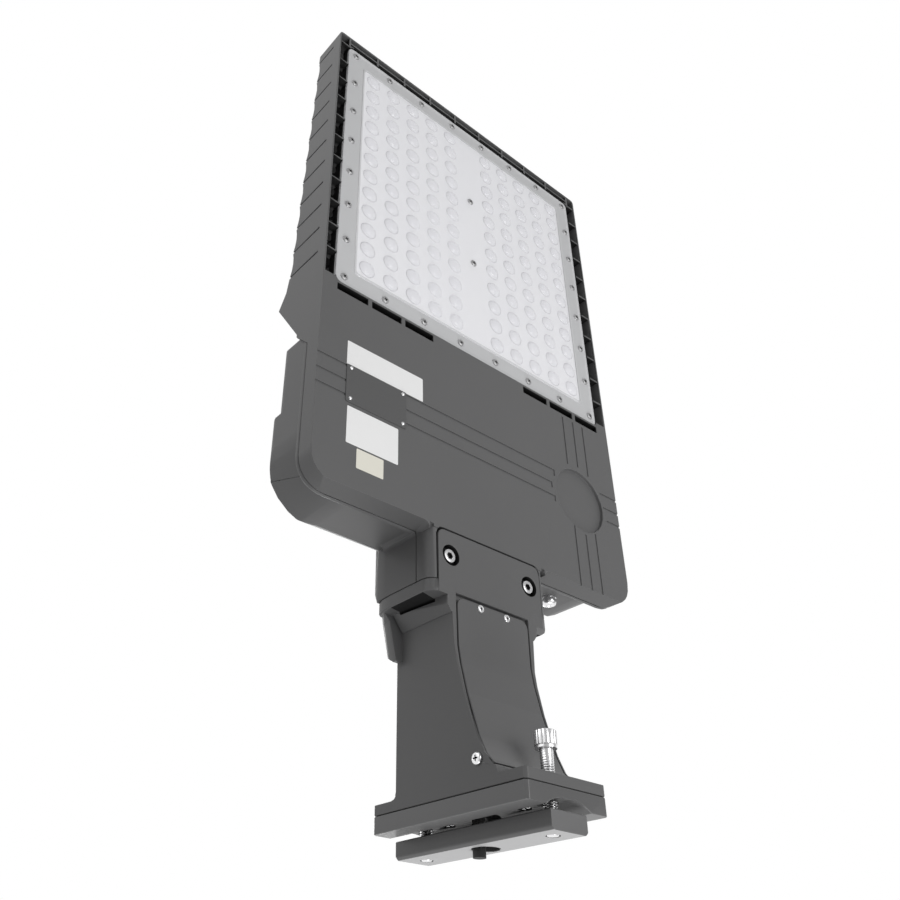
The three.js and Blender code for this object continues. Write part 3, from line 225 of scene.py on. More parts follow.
grain_tree, grain_in, grain_out = new_group(
    "surface_grain",
    [
        ("Grain Size", FLOAT, 0.0008),
        ("Mottle Size", FLOAT, 0.05),
        ("Dark", COLOUR, (0.1, 0.1, 0.1, 1)),
        ("Light", COLOUR, (0.2, 0.2, 0.2, 1)),
        ("Smooth", FLOAT, 0.4),
        ("Rough", FLOAT, 0.5),
    ],
    [("Color", COLOUR), ("Roughness", FLOAT), ("Height", FLOAT)],
)
grain_where = add_node(grain_tree, "ShaderNodeTexCoord")


def size_noise(size_socket, detail):
    """Noise whose blobs are as wide as the length given on a socket of the group."""
    per_metre = add_node(grain_tree, "ShaderNodeMath", {0: 1}, operation="DIVIDE")
    noise = add_node(grain_tree, "ShaderNodeTexNoise", {"Detail": detail})
    link(grain_in, size_socket, per_metre, 1)
    link(grain_where, "Object", noise, "Vector")
    link(per_metre, 0, noise, "Scale")
    return noise


fine = size_noise("Grain Size", FINE_DETAIL)
slow = size_noise("Mottle Size", SLOW_DETAIL)
both = add_node(grain_tree, "ShaderNodeMix", {"Factor": FINE_SHARE}, data_type="FLOAT")
tint = add_node(grain_tree, "ShaderNodeMix", data_type="RGBA")
shine = add_node(grain_tree, "ShaderNodeMapRange")
link(slow, "Fac", both, "A")
link(fine, "Fac", both, "B")
link(both, "Result", tint, "Factor")
link(grain_in, "Dark", tint, "A")
link(grain_in, "Light", tint, "B")
link(slow, "Fac", shine, "Value")
link(grain_in, "Smooth", shine, "To Min")
link(grain_in, "Rough", shine, "To Max")
link(tint, "Result", grain_out, "Color")
link(shine, "Result", grain_out, "Roughness")
link(fine, "Fac", grain_out, "Height")
print("grain group nodes:", len(grain_tree.nodes))

# %% Painted edge highlight
HIGHLIGHT_STARTS, HIGHLIGHT_FULL = 0.53, 0.62

highlight_tree, highlight_in, highlight_out = new_group(
    "painted_edge_highlight",
    [("Base", COLOUR, (0.1, 0.1, 0.1, 1)), ("Highlight", COLOUR, (0.3, 0.3, 0.3, 1)),
     ("Amount", FLOAT, 0.5)],
    [("Color", COLOUR)],
)
# Convex edges, found by pointiness, are mixed toward a lighter colour: a painted edge
# highlight.
shape = add_node(highlight_tree, "ShaderNodeNewGeometry")
convex = add_node(highlight_tree, "ShaderNodeMapRange",
                  {"From Min": HIGHLIGHT_STARTS, "From Max": HIGHLIGHT_FULL})
highlight_share = add_node(highlight_tree, "ShaderNodeMath", operation="MULTIPLY")
highlight_mix = add_node(highlight_tree, "ShaderNodeMix", data_type="RGBA")
link(shape, "Pointiness", convex, "Value")
link(convex, "Result", highlight_share, 0)
link(highlight_in, "Amount", highlight_share, 1)
link(highlight_share, 0, highlight_mix, "Factor")
link(highlight_in, "Base", highlight_mix, "A")
link(highlight_in, "Highlight", highlight_mix, "B")
link(highlight_mix, "Result", highlight_out, "Color")
print("node groups:", sorted(g.name for g in bpy.data.node_groups))

# %% [markdown]
# ## Finishes
# One function makes every opaque finish from the two groups: powder coat, steel, rubber,
# moulded nylon, solder mask and paper differ in their colours, grain, roughness and metal
# share. grain and mottle are the widths of their blobs in metres, and depth is how far the
# grain stands up. The clear plastic has its own recipe further down.


# %% The finish maker
BLUE_SHIFT = 1.01
BUMP_STRENGTH = 0.5
COAT_ROUGHNESS = 0.2


def grey(value):
    """A grey that is a touch bluer than neutral, as cast aluminium and its paints are."""
    return (value, value, value * BLUE_SHIFT, 1)


def grained(name, colour, darker, lighter, grain, mottle, smooth, rough):
    """A material, its shader, and a grain group that mottles between shares of a colour."""
    material = bpy.data.materials.new(name)
    material.use_nodes = True
    dark, light = ([min(1, c * share) for c in colour[:3]] + [1]
                   for share in (darker, lighter))
    group = add_node(material.node_tree, "ShaderNodeGroup", {
        "Grain Size": grain, "Mottle Size": mottle, "Dark": dark, "Light": light,
        "Smooth": smooth, "Rough": rough,
    }, node_tree=grain_tree)
    shader = material.node_tree.nodes["Principled BSDF"]
    link(group, "Roughness", shader, "Roughness")
    return material, shader, group


def finish(name, colour, spread=0.05, grain=0.0004, depth=0.00001, smooth=0.3, rough=0.4,
           metal=0.0, mottle=0.05, edge_highlight=None, highlight_amount=0.5, coat=0.0, gloss=0.5):
    """An opaque finish. spread is how far its tone mottles."""
    material, shader, source = grained(name, colour, 1 - spread, 1 + spread, grain, mottle,
                                       smooth, rough)
    tree = material.node_tree
    set_inputs(shader, {"Metallic": metal, "Specular IOR Level": gloss,
                        "Coat Weight": coat, "Coat Roughness": COAT_ROUGHNESS})
    bump = add_node(tree, "ShaderNodeBump", {"Strength": BUMP_STRENGTH, "Distance": depth})
    link(source, "Height", bump, "Height")
    link(bump, "Normal", shader, "Normal")
    # Convex edges get a lighter colour here, a painted edge highlight.
    if edge_highlight:
        highlighting = add_node(tree, "ShaderNodeGroup", {"Highlight": edge_highlight, "Amount": highlight_amount},
                           node_tree=highlight_tree)
        link(source, "Color", highlighting, "Base")
        source = highlighting
    link(source, "Color", shader, "Base Color")
    return material


# %% Paints, metals, rubbers and boards
head_paint = finish("head_powder_coat", grey(0.108), grain=0.0006, depth=0.00004,
                    smooth=0.42, rough=0.52, gloss=0.3)
arm_paint = finish("arm_powder_coat", grey(0.108), grain=0.0006, depth=0.00004,
                   smooth=0.34, rough=0.44, gloss=0.3)
# The bar's convex edges get a painted edge highlight.
bar_paint = finish("bar_coat", grey(0.085), spread=0.1, grain=0.0009, depth=0.00005,
                   edge_highlight=grey(0.3))
# Near-black: painted shade in the deep vents, the bolt pockets and the collar slot.
vent_shade = finish("vent_painted_shade", grey(0.016), spread=0.1, grain=0.0008, depth=0.00003,
                    smooth=0.6, rough=0.7, gloss=0.1)
# Near-black: painted shade in the recesses of screw and bolt heads.
recess_painted_shade = finish("recess_shade", grey(0.02), spread=0.1, smooth=0.6, rough=0.7,
                     gloss=0.1)
plate_dark = finish("riveted_plate", grey(0.075), smooth=0.4, rough=0.5)
# The steel's convex edges get a painted edge highlight.
steel = finish("zinc_steel", grey(0.8), spread=0.06, smooth=0.2, rough=0.34, metal=1,
               mottle=0.004, edge_highlight=grey(0.85), highlight_amount=0.4)
dull_steel = finish("dull_steel", grey(0.42), spread=0.08, smooth=0.4, rough=0.5, metal=1,
                    mottle=0.002)
bare_cast = finish("bare_cast", grey(0.42), spread=0.1, grain=0.0008, smooth=0.4,
                   rough=0.5, mottle=0.004)
brass = finish("brass", (0.55, 0.42, 0.18, 1), grain=0.0005, smooth=0.25, metal=1)
case_metal = finish("driver_case", grey(0.55), grain=0.0012, depth=0.00002, smooth=0.35,
                    rough=0.45, metal=0.8)
rubber = finish("black_rubber", grey(0.018), spread=0.1, grain=0.0006, depth=0.00003,
                smooth=0.62, rough=0.75)
nylon = finish("black_nylon", grey(0.024), spread=0.1, grain=0.0005, depth=0.00002,
               smooth=0.4, rough=0.52)
silicone = finish("pale_silicone", (0.5, 0.51, 0.5, 1), grain=0.001, depth=0.00002,
                  smooth=0.55, rough=0.65)
board_white = finish("solder_mask", (0.93, 0.935, 0.94, 1), spread=0.02, grain=0.0006,
                     mottle=0.02, coat=0.2)
film_white = finish("reflector_film", (0.95, 0.955, 0.96, 1), spread=0.015, grain=0.0008,
                    smooth=0.4, rough=0.5, mottle=0.03)
package_white = finish("led_package", (0.86, 0.86, 0.84, 1), spread=0.02, grain=0.0003,
                       smooth=0.4, rough=0.5)
phosphor = finish("phosphor", (0.82, 0.74, 0.36, 1), grain=0.0003, smooth=0.4, rough=0.5)
paper = finish("label_paper", (0.8, 0.8, 0.8, 1), spread=0.02)
cream_paper = finish("cream_paper", (0.72, 0.7, 0.62, 1), spread=0.03, smooth=0.35,
                     rough=0.45)
floor_pale = finish("floor_pale", (0.86, 0.86, 0.86, 1), spread=0.01, grain=0.004,
                    depth=0.00002, smooth=0.7, rough=0.8)
WIRE_COLOURS = {
    "black": grey(0.02), "white": (0.72, 0.72, 0.7, 1), "green": (0.03, 0.22, 0.05, 1),
    "red": (0.5, 0.02, 0.02, 1), "blue": (0.02, 0.06, 0.4, 1),
}
wire_finishes = {name: finish(f"wire_{name}", colour)
                 for name, colour in WIRE_COLOURS.items()}
print("opaque finishes:", len(bpy.data.materials))

# %% [markdown]
# The lens is clear polycarbonate. Real refraction would leave the boards behind it dark
# and noisy, because lamps can't be sampled through it. A see-through share by Alpha lets
# the light in and keeps the gloss. The flat sheet is the densest, since it hides all but
# the shine of the boards. Its clamped rim shows the seal, and the domes show what is under
# them, so each has a share of its own.


# %% Clear plastic
POLYCARBONATE_IOR = 1.58
LIGHTER = 1.03


def clear_plastic(name, colour, alpha):
    """Glossy plastic that covers what lies behind it by the share in alpha."""
    material, shader, group = grained(name, colour, 1, LIGHTER, grain=0.002, mottle=0.03,
                                      smooth=0.05, rough=0.1)
    set_inputs(shader, {"IOR": POLYCARBONATE_IOR, "Alpha": alpha})
    link(group, "Color", shader, "Base Color")
    return material


lens_sheet_clear = clear_plastic("clear_sheet", (0.95, 0.95, 0.985, 1), alpha=0.8)
lens_rim_clear = clear_plastic("clear_rim", (0.88, 0.885, 0.9, 1), alpha=0.58)
lens_dome_clear = clear_plastic("clear_dome", (0.95, 0.95, 0.985, 1), alpha=0.25)
print("materials:", len(bpy.data.materials))

# %% [markdown]
# ## Castings
# A die-cast part has no knife edge: every corner is rounded by half a millimetre or more,
# and that thin line of light is what makes it read as metal. Modelling each round in CAD
# would cost thousands of faces there. Here the node's mesh is copied, its sliver triangles
# are merged and cut again evenly, and a bevel rounds each sharp edge as far as its
# neighbours leave room. A round's corner that would stand past the casting's box is brought
# back to it, and the large flats keep their own direction, so none shows a false crease.


# %% Softened copies of CAD nodes
ROOM_SHARE = 0.2
LEAST_SHARE = 0.12
BEVEL_FROM = 30
EDGE_ANGLE = 35
PACKAGE_ANGLE = 40
SHARP_ANGLE = 50
FLAT_AREA = 0.0015
WELD = 1e-6
SAME_PLANE = 0.5
EVEN_WEIGHT = 100


def add_piece(name, mesh, material, body="light_head", node=None):
    """A new piece that rides on a body, or stands for a CAD node and rides on its body.

    Faces of a recess get a near-black colour, which is painted shade.
    """
    piece = linked(name, mesh)
    if material:
        mesh.materials.append(material)
        if any(face.material_index for face in mesh.polygons):
            mesh.materials.append(recess_painted_shade)
    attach(piece, nodes[node]["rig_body"] if node else body)
    if node:
        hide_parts(node)
    return piece


def to_mesh(name, form):
    """A new mesh from a form, which is freed."""
    mesh = bpy.data.meshes.new(name)
    form.to_mesh(mesh)
    form.free()
    return mesh


def smooth(mesh, angle=EDGE_ANGLE):
    """Smooth shading, with edges sharp where faces meet at more than the angle."""
    mesh.shade_smooth()
    mesh.set_sharp_from_angle(angle=math.radians(angle))


def weigh_edges(form, width):
    """Gives each sharp edge the share of the width that fits beside it."""
    weights = form.edges.layers.float.new("bevel_weight_edge")
    sharp = {e for e in form.edges
             if e.is_manifold and e.calc_face_angle(0) > math.radians(BEVEL_FROM)}
    for edge in sharp:
        near = {e for corner in edge.verts for e in corner.link_edges} & sharp
        room = ROOM_SHARE * min(e.calc_length() for e in near)
        share = min(1, room / width)
        edge[weights] = share if share > LEAST_SHARE else 0


def keep_flats(mesh):
    """Shades the large flats with their own direction."""
    planes = {}
    for face in mesh.polygons:
        key = (*(round(part, 3) for part in face.normal),
               round(face.center.dot(face.normal), 5))
        planes.setdefault(key, []).append(face)
    corners = [corner.vector.copy() for corner in mesh.corner_normals]
    for faces in planes.values():
        if sum(face.area for face in faces) > FLAT_AREA:
            for face in faces:
                for loop in face.loop_indices:
                    corners[loop] = face.normal.copy()
    mesh.normals_split_custom_set(corners)


def bevelled(mesh, width, segments=2):
    """A new mesh with its sharp edges rounded where there is room."""
    form = bmesh.new()
    form.from_mesh(mesh)
    weigh_edges(form, width)
    form.to_mesh(mesh)
    form.free()
    holder = linked("bevel_holder", mesh)
    rounding = holder.modifiers.new("rounding", "BEVEL")
    rounding.width = width
    rounding.segments = segments
    rounding.limit_method = "WEIGHT"
    rounding.use_clamp_overlap = False
    flatten = holder.modifiers.new("flatten", "WEIGHTED_NORMAL")
    flatten.weight = EVEN_WEIGHT
    flatten.keep_sharp = True
    graph = bpy.context.evaluated_depsgraph_get()
    result = bpy.data.meshes.new_from_object(holder.evaluated_get(graph))
    low, high = (Vector(corner) for corner in (holder.bound_box[0], holder.bound_box[6]))
    for vertex in result.vertices:
        vertex.co = [min(max(at, a), b) for at, a, b in zip(vertex.co, low, high)]
    bpy.data.objects.remove(holder)
    keep_flats(result)
    return result


def softened(node, name, material, width):
    """A copy of a CAD node with rounded edges, which stands for the node."""
    form = bmesh.new()
    form.from_mesh(nodes[node].data)
    bmesh.ops.remove_doubles(form, verts=form.verts, dist=WELD)
    bmesh.ops.dissolve_limit(
        form, angle_limit=math.radians(SAME_PLANE), verts=form.verts, edges=form.edges
    )
    wide = [face for face in form.faces if len(face.verts) > 4]
    bmesh.ops.triangulate(form, faces=wide)
    mesh = to_mesh(name, form)
    smooth(mesh, SHARP_ANGLE)
    mesh = bevelled(mesh, width)
    mesh.name = name
    print(f"{name}: {len(mesh.polygons)} faces")
    return add_piece(name, mesh, material, node=node)


# %% The cast and moulded pieces
BOARD_EDGE = 0.0002

housing = softened("front_housing", "housing_casting", head_paint, 0.0006)
cover = softened("driver_cover", "cover_casting", head_paint, 0.0012)
arm = softened("arm", "arm_casting", arm_paint, 0.0009)
softened("wiring_cover", "wiring_hatch", arm_paint, 0.0006)
softened("pole_adapter", "adapter_casting", bar_paint, 0.0009)
bar = softened("clamp_bar", "clamp_bar_casting", bar_paint, 0.0009)
softened("lens_gasket", "lens_seal", silicone, 0.0003)
softened("driver_cover_gasket", "cover_seal", rubber, 0.00015)
softened("adapter_gasket", "adapter_seal", rubber, 0.00015)
softened("led_driver", "driver_case", case_metal, 0.001)
softened("surge_protector", "surge_block", nylon, 0.001)
softened("terminal_block", "terminal_body", nylon, 0.0008)
softened("lead_gland", "gland_body", nylon, 0.0006)
for side in ("left", "right"):
    softened(f"led_board_{side}", f"board_{side}", board_white, BOARD_EDGE)

# %% [markdown]
# ## Faces with a finish of their own
# The flat of the clamp bar that lies in the pole is machined and left bare. The vents
# beside the lens, the pockets of the neck's bolts and the slot in the collar are deep, so
# little light comes back out: their faces get a near-black colour, which is painted shade.
# Each face is found by its place and direction.


# %% The second finish of a casting
def refinish(piece, material, chosen):
    """Gives the faces that pass the test a second material."""
    piece.data.materials.append(material)
    faces = [face for face in piece.data.polygons if chosen(face)]
    for face in faces:
        face.material_index = 1
    print(f"{piece.name}: {len(faces)} faces in {material.name}")


def within(value, low, high):
    return low < value < high


# %% The bar's bare face
TOWARD_POLE = -0.9
refinish(bar, bare_cast, lambda face: face.normal.x < TOWARD_POLE)

# %% Painted shade in the hollows
VENT_X, VENT_SIDE, VENT_Z = (0.35, 0.69), 0.1605, (-0.0165, 0.01)
SLOT_X, SLOT_SIDE, SLOT_Z = (0.1412, 0.1438), 0.04, (-0.007, 0.029)
POCKETS = [Vector((0.175, y)) for y in (-0.04, 0.04)]
POCKET_RADIUS = 0.0085
POCKET_FROM = -0.0178


def in_vent(face):
    x, y, z = face.center
    return within(x, *VENT_X) and abs(y) < VENT_SIDE and within(z, *VENT_Z)


def in_slot_or_pocket(face):
    x, y, z = face.center
    in_slot = within(x, *SLOT_X) and abs(y) > SLOT_SIDE and within(z, *SLOT_Z)
    near = min((face.center.xy - pocket).length for pocket in POCKETS)
    return in_slot or (z > POCKET_FROM and near < POCKET_RADIUS)


refinish(housing, vent_shade, in_vent)
refinish(arm, vent_shade, in_slot_or_pocket)

# %% [markdown]
# ## Lathe and loft
# A screw, bolt, washer or dome is a stack of rings. Each ring is a radius for every angle,
# so one loft makes round heads, six-sided and cross-shaped recesses, knurls and even a
# thread, whose radius depends on angle and height together. The axis points into the
# material, and zero is the outermost face of the head.


# %% Rings
def circle(radius, points):
    """The same radius all round."""
    return [radius] * points


def angles(points):
    """The angle of each point of a ring."""
    return [2 * math.pi * k / points for k in range(points)]


def hexagon(flat, points):
    """Radii of a six-sided outline whose flats are that far from the centre."""
    step = math.radians(60)
    return [flat / math.cos((a + step / 2) % step - step / 2) for a in angles(points)]


def cross(arm_length, half_width, points):
    """Radii of a cross-shaped recess."""
    step = math.radians(90)
    radii = []
    for angle in angles(points):
        a = abs((angle + step / 2) % step - step / 2)
        side = half_width / math.sin(a) if a else arm_length
        radii.append(min(arm_length / math.cos(a), side))
    return radii


def knurled(radius, depth, teeth, points):
    """Radii of a round with that many rounded teeth."""
    return [radius - depth * (0.5 + 0.5 * math.cos(2 * math.pi * teeth * k / points))
            for k in range(points)]


def threaded(radius, depth, pitch, start, end, points, steps_per_turn=6):
    """Rings of a helical thread from one height to another, which fades at both ends."""
    count = max(2, round((end - start) / pitch * steps_per_turn))
    rings = []
    for i in range(count + 1):
        height = start + (end - start) * i / count
        fade = min(1, 4 * i / count, 4 * (count - i) / count)
        phase = 2 * math.pi * height / pitch
        rings.append((height, [
            radius - depth * fade * (0.5 + 0.5 * math.cos(phase - a))
            for a in angles(points)
        ]))
    return rings


# %% Walls between rings
def ring(form, radii, height, x=0, y=0):
    """New corners round a place, one for each radius."""
    return [form.verts.new((x + r * math.cos(a), y + r * math.sin(a), height))
            for r, a in zip(radii, angles(len(radii)))]


def walls(form, rows):
    """Faces from each row of corners to the next."""
    for a, b in zip(rows, rows[1:]):
        for k in range(len(a)):
            j = (k + 1) % len(a)
            form.faces.new((a[k], b[k], b[j], a[j]))


def closed_mesh(name, form, rows):
    """The mesh of walls along rows of corners, with both ends closed."""
    walls(form, rows)
    form.faces.new(rows[0])
    form.faces.new(rows[-1][::-1])
    bmesh.ops.recalc_face_normals(form, faces=form.faces)
    return to_mesh(name, form)


# %% Lofting the rings
def loft(name, rings, recess=0):
    """rings are (height, radii), from the middle of the head's face out and down.

    recess is how many of the first rings lie inside a recess, whose faces get painted shade.
    """
    form = bmesh.new()
    mesh = closed_mesh(name, form, [ring(form, radii, height) for height, radii in rings])
    if recess:
        inside = mesh.polygons[:recess * len(rings[0][1])]
        for face in (*inside, mesh.polygons[-2]):
            face.material_index = 1
    smooth(mesh)
    return mesh


def turned(name, profile, points):
    """A round piece from the heights and radii of its profile."""
    return loft(name, [(height, circle(radius, points)) for height, radius in profile])


def aimed(direction, place):
    """A matrix that turns the lathe axis to a direction and moves it to a place."""
    turn = Vector((0, 0, 1)).rotation_difference(Vector(direction))
    return Matrix.Translation(place) @ turn.to_matrix().to_4x4()


def centre(node):
    """The middle of a node's box, and the box."""
    low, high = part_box(node)
    return (low + high) / 2, low, high


# %% [markdown]
# ## Screws of the lens
# Thirty small pan-head screws clamp the lens on its seal. They share one mesh, and each
# stands for its own CAD screw, whose box gives the place. No two recesses are turned the
# same way, as a driver leaves them.


# %% A pan head with a cross recess
LENS_SCREW_TURN = 37
THREAD_RELIEF = 0.0002


def pan_screw(name, head, height, shank, length, points=48):
    """head and shank are radii. Depths are shares of the height of the head."""
    inner = 0.5 * head
    slot_half = 0.13 * head
    rings = [
        (0.8 * height, cross(0.25 * inner, 0.5 * slot_half, points)),
        (0.72 * height, cross(0.7 * inner, slot_half, points)),
        (0.1 * height, cross(inner, slot_half, points)),
        (0.0, circle(0.62 * head, points)),
        (0.12 * height, circle(0.82 * head, points)),
        (0.4 * height, circle(0.96 * head, points)),
        (0.7 * height, circle(head, points)),
        (height, circle(head, points)),
        (height, circle(shank, points)),
    ]
    start = height + THREAD_RELIEF
    rings += threaded(shank, 0.12 * shank, 0.5 * shank, start, length - shank, points, 4)
    rings.append((length, circle(0.15 * shank, points)))
    return loft(name, rings, recess=2)


screw_mesh = pan_screw("lens_screw_mesh", head=0.0034, height=0.0014, shank=0.0016,
                       length=0.0097, points=32)
screw_mesh.materials.append(dull_steel)
screw_mesh.materials.append(recess_painted_shade)
screw_nodes = sorted(n for n in nodes if n.startswith("lens_screw_"))
for node in screw_nodes:
    mid, low, high = centre(node)
    screw = linked(f"pan_{node}", screw_mesh)
    turn = Matrix.Rotation(math.radians(LENS_SCREW_TURN * int(node[-2:])), 4, "Z")
    screw.matrix_world = Matrix.Translation((mid.x, mid.y, low.z)) @ turn
    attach(screw, nodes[node]["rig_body"])
    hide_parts(node)
print("lens screws:", len(screw_nodes), "faces each:", len(screw_mesh.polygons))

# %% [markdown]
# ## Lens and light sources
# The lens is one moulding: a flat sheet with a raised bead round its clamped rim and 120
# hollow domes. The domes are shells with an inside and an outside, so light catches both
# walls. Behind it a white film covers the boards, and under each dome sits a small white
# package with a yellow disc.

# %% Sizes of the lens
lens_low, lens_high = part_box("lens_panel")
SHEET_FRONT = -0.0165
SHEET_BACK = -0.0145
DOME_HEIGHT = 0.0032
DOME_RADIUS = 0.008
DOME_WALL = 0.0009
FIRST_ROW, ROW_PITCH, ROWS = 0.4056, 0.02236, 12
COLUMN_PITCH, COLUMNS_A_SIDE = 0.0246, 5
DOME_PLACES = [(FIRST_ROW + ROW_PITCH * row, side * COLUMN_PITCH * k) for row in range(ROWS)
               for side in (-1, 1) for k in range(1, COLUMNS_A_SIDE + 1)]
print("lens box, mm:", [round(1000 * v, 1) for v in (*lens_low, *lens_high)])


# %% Outlines and stacks
def rounded_outline(x0, x1, y0, y1, radius, steps=6):
    """Points round a rectangle with rounded corners."""
    corners = [(x1 - radius, y1 - radius, 0), (x0 + radius, y1 - radius, 90),
               (x0 + radius, y0 + radius, 180), (x1 - radius, y0 + radius, 270)]
    points = []
    for x, y, start in corners:
        for k in range(steps + 1):
            a = math.radians(start + 90 * k / steps)
            points.append((x + radius * math.cos(a), y + radius * math.sin(a)))
    return points


def stacked(name, loops):
    """A closed mesh through outlines of (points, height), each with as many points."""
    form = bmesh.new()
    rows = [[form.verts.new((x, y, z)) for x, y in points] for points, z in loops]
    return closed_mesh(name, form, rows)


def add_stacked(name, loops, material, node=None):
    """A piece through outlines."""
    mesh = stacked(name, loops)
    smooth(mesh)
    return add_piece(name, mesh, material, node=node)


# %% Sheet and bead
LENS_CORNER, LEAST_CORNER = 0.005, 0.003
BEAD_FROM_EDGE = 0.0175
BEAD_WIDTH = 0.0022
BEAD_HEIGHT = 0.0007
CHAMFER = 0.0004


def lens_outline(inset):
    return rounded_outline(lens_low.x + inset, lens_high.x - inset,
                           lens_low.y + inset, lens_high.y - inset,
                           max(LENS_CORNER - inset, LEAST_CORNER))


bead_top = SHEET_FRONT - BEAD_HEIGHT
SHEET_STACK = (
    (0, SHEET_BACK), (0, SHEET_FRONT + CHAMFER), (CHAMFER, SHEET_FRONT),
    (BEAD_FROM_EDGE, SHEET_FRONT), (BEAD_FROM_EDGE + CHAMFER, bead_top),
    (BEAD_FROM_EDGE + BEAD_WIDTH - CHAMFER, bead_top),
    (BEAD_FROM_EDGE + BEAD_WIDTH, SHEET_FRONT),
)
sheet_loops = [(lens_outline(inset), height) for inset, height in SHEET_STACK]
sheet = add_stacked("lens_sheet", sheet_loops, lens_sheet_clear, "lens_panel")
sheet.data.materials.append(lens_rim_clear)
rim_faces = [face for face in sheet.data.polygons if len(face.vertices) == 4]
for face in rim_faces:
    face.material_index = 1
print("lens sheet faces:", len(sheet.data.polygons), "of them rim:", len(rim_faces))


# %% Domes
def dome_shell(form, x, y, points=24, steps=5):
    """An outer cap and an inner one, joined by a ring at their foot."""
    def cap(radius, height):
        shares = [k / steps for k in range(1, steps + 1)]
        return [(radius * s, height * math.sqrt(1 - s * s)) for s in shares]

    profile = cap(DOME_RADIUS, DOME_HEIGHT)
    profile += cap(DOME_RADIUS - DOME_WALL, DOME_HEIGHT - DOME_WALL)[::-1]
    rows = [ring(form, circle(radius, points), SHEET_FRONT - rise, x, y)
            for radius, rise in profile]
    top = form.verts.new((x, y, SHEET_FRONT - DOME_HEIGHT))
    under = form.verts.new((x, y, SHEET_FRONT - DOME_HEIGHT + DOME_WALL))
    walls(form, rows)
    for k in range(points):
        j = (k + 1) % points
        form.faces.new((top, rows[0][k], rows[0][j]))
        form.faces.new((under, rows[-1][j], rows[-1][k]))


domes_form = bmesh.new()
for x, y in DOME_PLACES:
    dome_shell(domes_form, x, y)
bmesh.ops.recalc_face_normals(domes_form, faces=domes_form.faces)
domes_mesh = to_mesh("lens_domes", domes_form)
smooth(domes_mesh, SHARP_ANGLE)
add_piece("lens_domes", domes_mesh, lens_dome_clear)
print("domes:", len(DOME_PLACES))


# %% Joining small parts
def add_joined(name, parts, materials, angle=EDGE_ANGLE, body="light_head"):
    """A piece of one mesh, joined from (mesh, matrix, material index) parts."""
    form = bmesh.new()
    for mesh, matrix, index in parts:
        start = len(form.faces)
        form.from_mesh(mesh)
        form.faces.ensure_lookup_table()
        added = form.faces[start:]
        corners = {v for face in added for v in face.verts}
        bmesh.ops.transform(form, matrix=matrix, verts=list(corners))
        for face in added:
            face.material_index += index
    result = to_mesh(name, form)
    for material in materials:
        result.materials.append(material)
    smooth(result, angle)
    add_piece(name, result, None, body)


# %% Reflector film
FILM_THICKNESS = 0.0002
FILM_CORNER = 0.003
boards = [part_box(f"led_board_{side}") for side in ("left", "right")]
film_low = Vector(min(low[axis] for low, _ in boards) for axis in range(3))
film_high = Vector(max(high[axis] for _, high in boards) for axis in range(3))
board_front = film_low.z
film_plan = rounded_outline(film_low.x, film_high.x, film_low.y, film_high.y,
                            FILM_CORNER, 4)
add_stacked("reflector_film", [
    (film_plan, board_front), (film_plan, board_front - FILM_THICKNESS)
], film_white)
print("film, mm:", [round(1000 * (b - a)) for a, b in zip(film_low.xy, film_high.xy)])

# %% Light sources
PACKAGE_WIDTH = 0.005
PACKAGE_HEIGHTS = (0.0, -0.0006, -0.0008)
PACKAGE_INSETS = (0.0, 0.0, 0.0002)
PACKAGE_CORNERS = (0.0004, 0.0004, 0.0003)
GLOW_RINGS = ((-0.00125, 0.0006), (-0.0011, 0.0014), (-0.0008, 0.0019), (-0.0004, 0.0019))
halves = [PACKAGE_WIDTH / 2 - inset for inset in PACKAGE_INSETS]
package = stacked("package", [
    (rounded_outline(-half, half, -half, half, corner, 2), height)
    for half, corner, height in zip(halves, PACKAGE_CORNERS, PACKAGE_HEIGHTS)
])
glow = turned("glow", GLOW_RINGS, 24)
sources = []
for x, y in DOME_PLACES:
    place = Matrix.Translation((x, y, board_front))
    sources += [(package, place, 0), (glow, place, 1)]
add_joined("light_sources", sources, [package_white, phosphor],
           PACKAGE_ANGLE)
print("light sources:", len(sources) // 2)

# %% [markdown]
# ## Bolts of the neck and the pole
# Two socket bolts hold the tongue in the neck, sunk in round pockets. Two long socket
# bolts with knurled heads draw the clamp bar to the adapter. Their thread is real here, a
# helix of 1.5 mm pitch, because the shank shows between the head and the flange.


# %% Socket bolts
KNURLS = 24


def socket_bolt(name, head, height, shank, length, flat, depth, pitch, thread_from,
                knurl=0.0, points=72):
    """head and shank are radii, and flat is half the width across the hexagon."""
    lip = 0.06 * head
    side = knurled(head, knurl, KNURLS, points) if knurl else circle(head, points)
    rings = [
        (depth, hexagon(0.4 * flat, points)),
        (depth, hexagon(flat, points)),
        (lip, hexagon(flat, points)),
        (0.0, hexagon(flat + lip, points)),
        (0.0, circle(head - 2 * lip, points)),
        (0.4 * lip, circle(head - lip, points)),
        (1.5 * lip, side),
        (height - lip, side),
        (height, circle(head - lip, points)),
        (height, circle(shank, points)),
    ]
    rings += threaded(shank, 0.1 * shank, pitch, thread_from, length - 0.3 * shank, points)
    rings.append((length, circle(0.8 * shank, points)))
    return loft(name, rings, recess=2)


def fit_fastener(node, name, mesh, direction):
    """Puts a lathe piece where a CAD fastener is, with its axis along a direction."""
    mid, low, high = centre(node)
    direction = Vector(direction)
    start = mid - direction * abs((high - low).dot(direction)) / 2
    mesh.transform(aimed(direction, start))
    add_piece(name, mesh, steel, node=node)


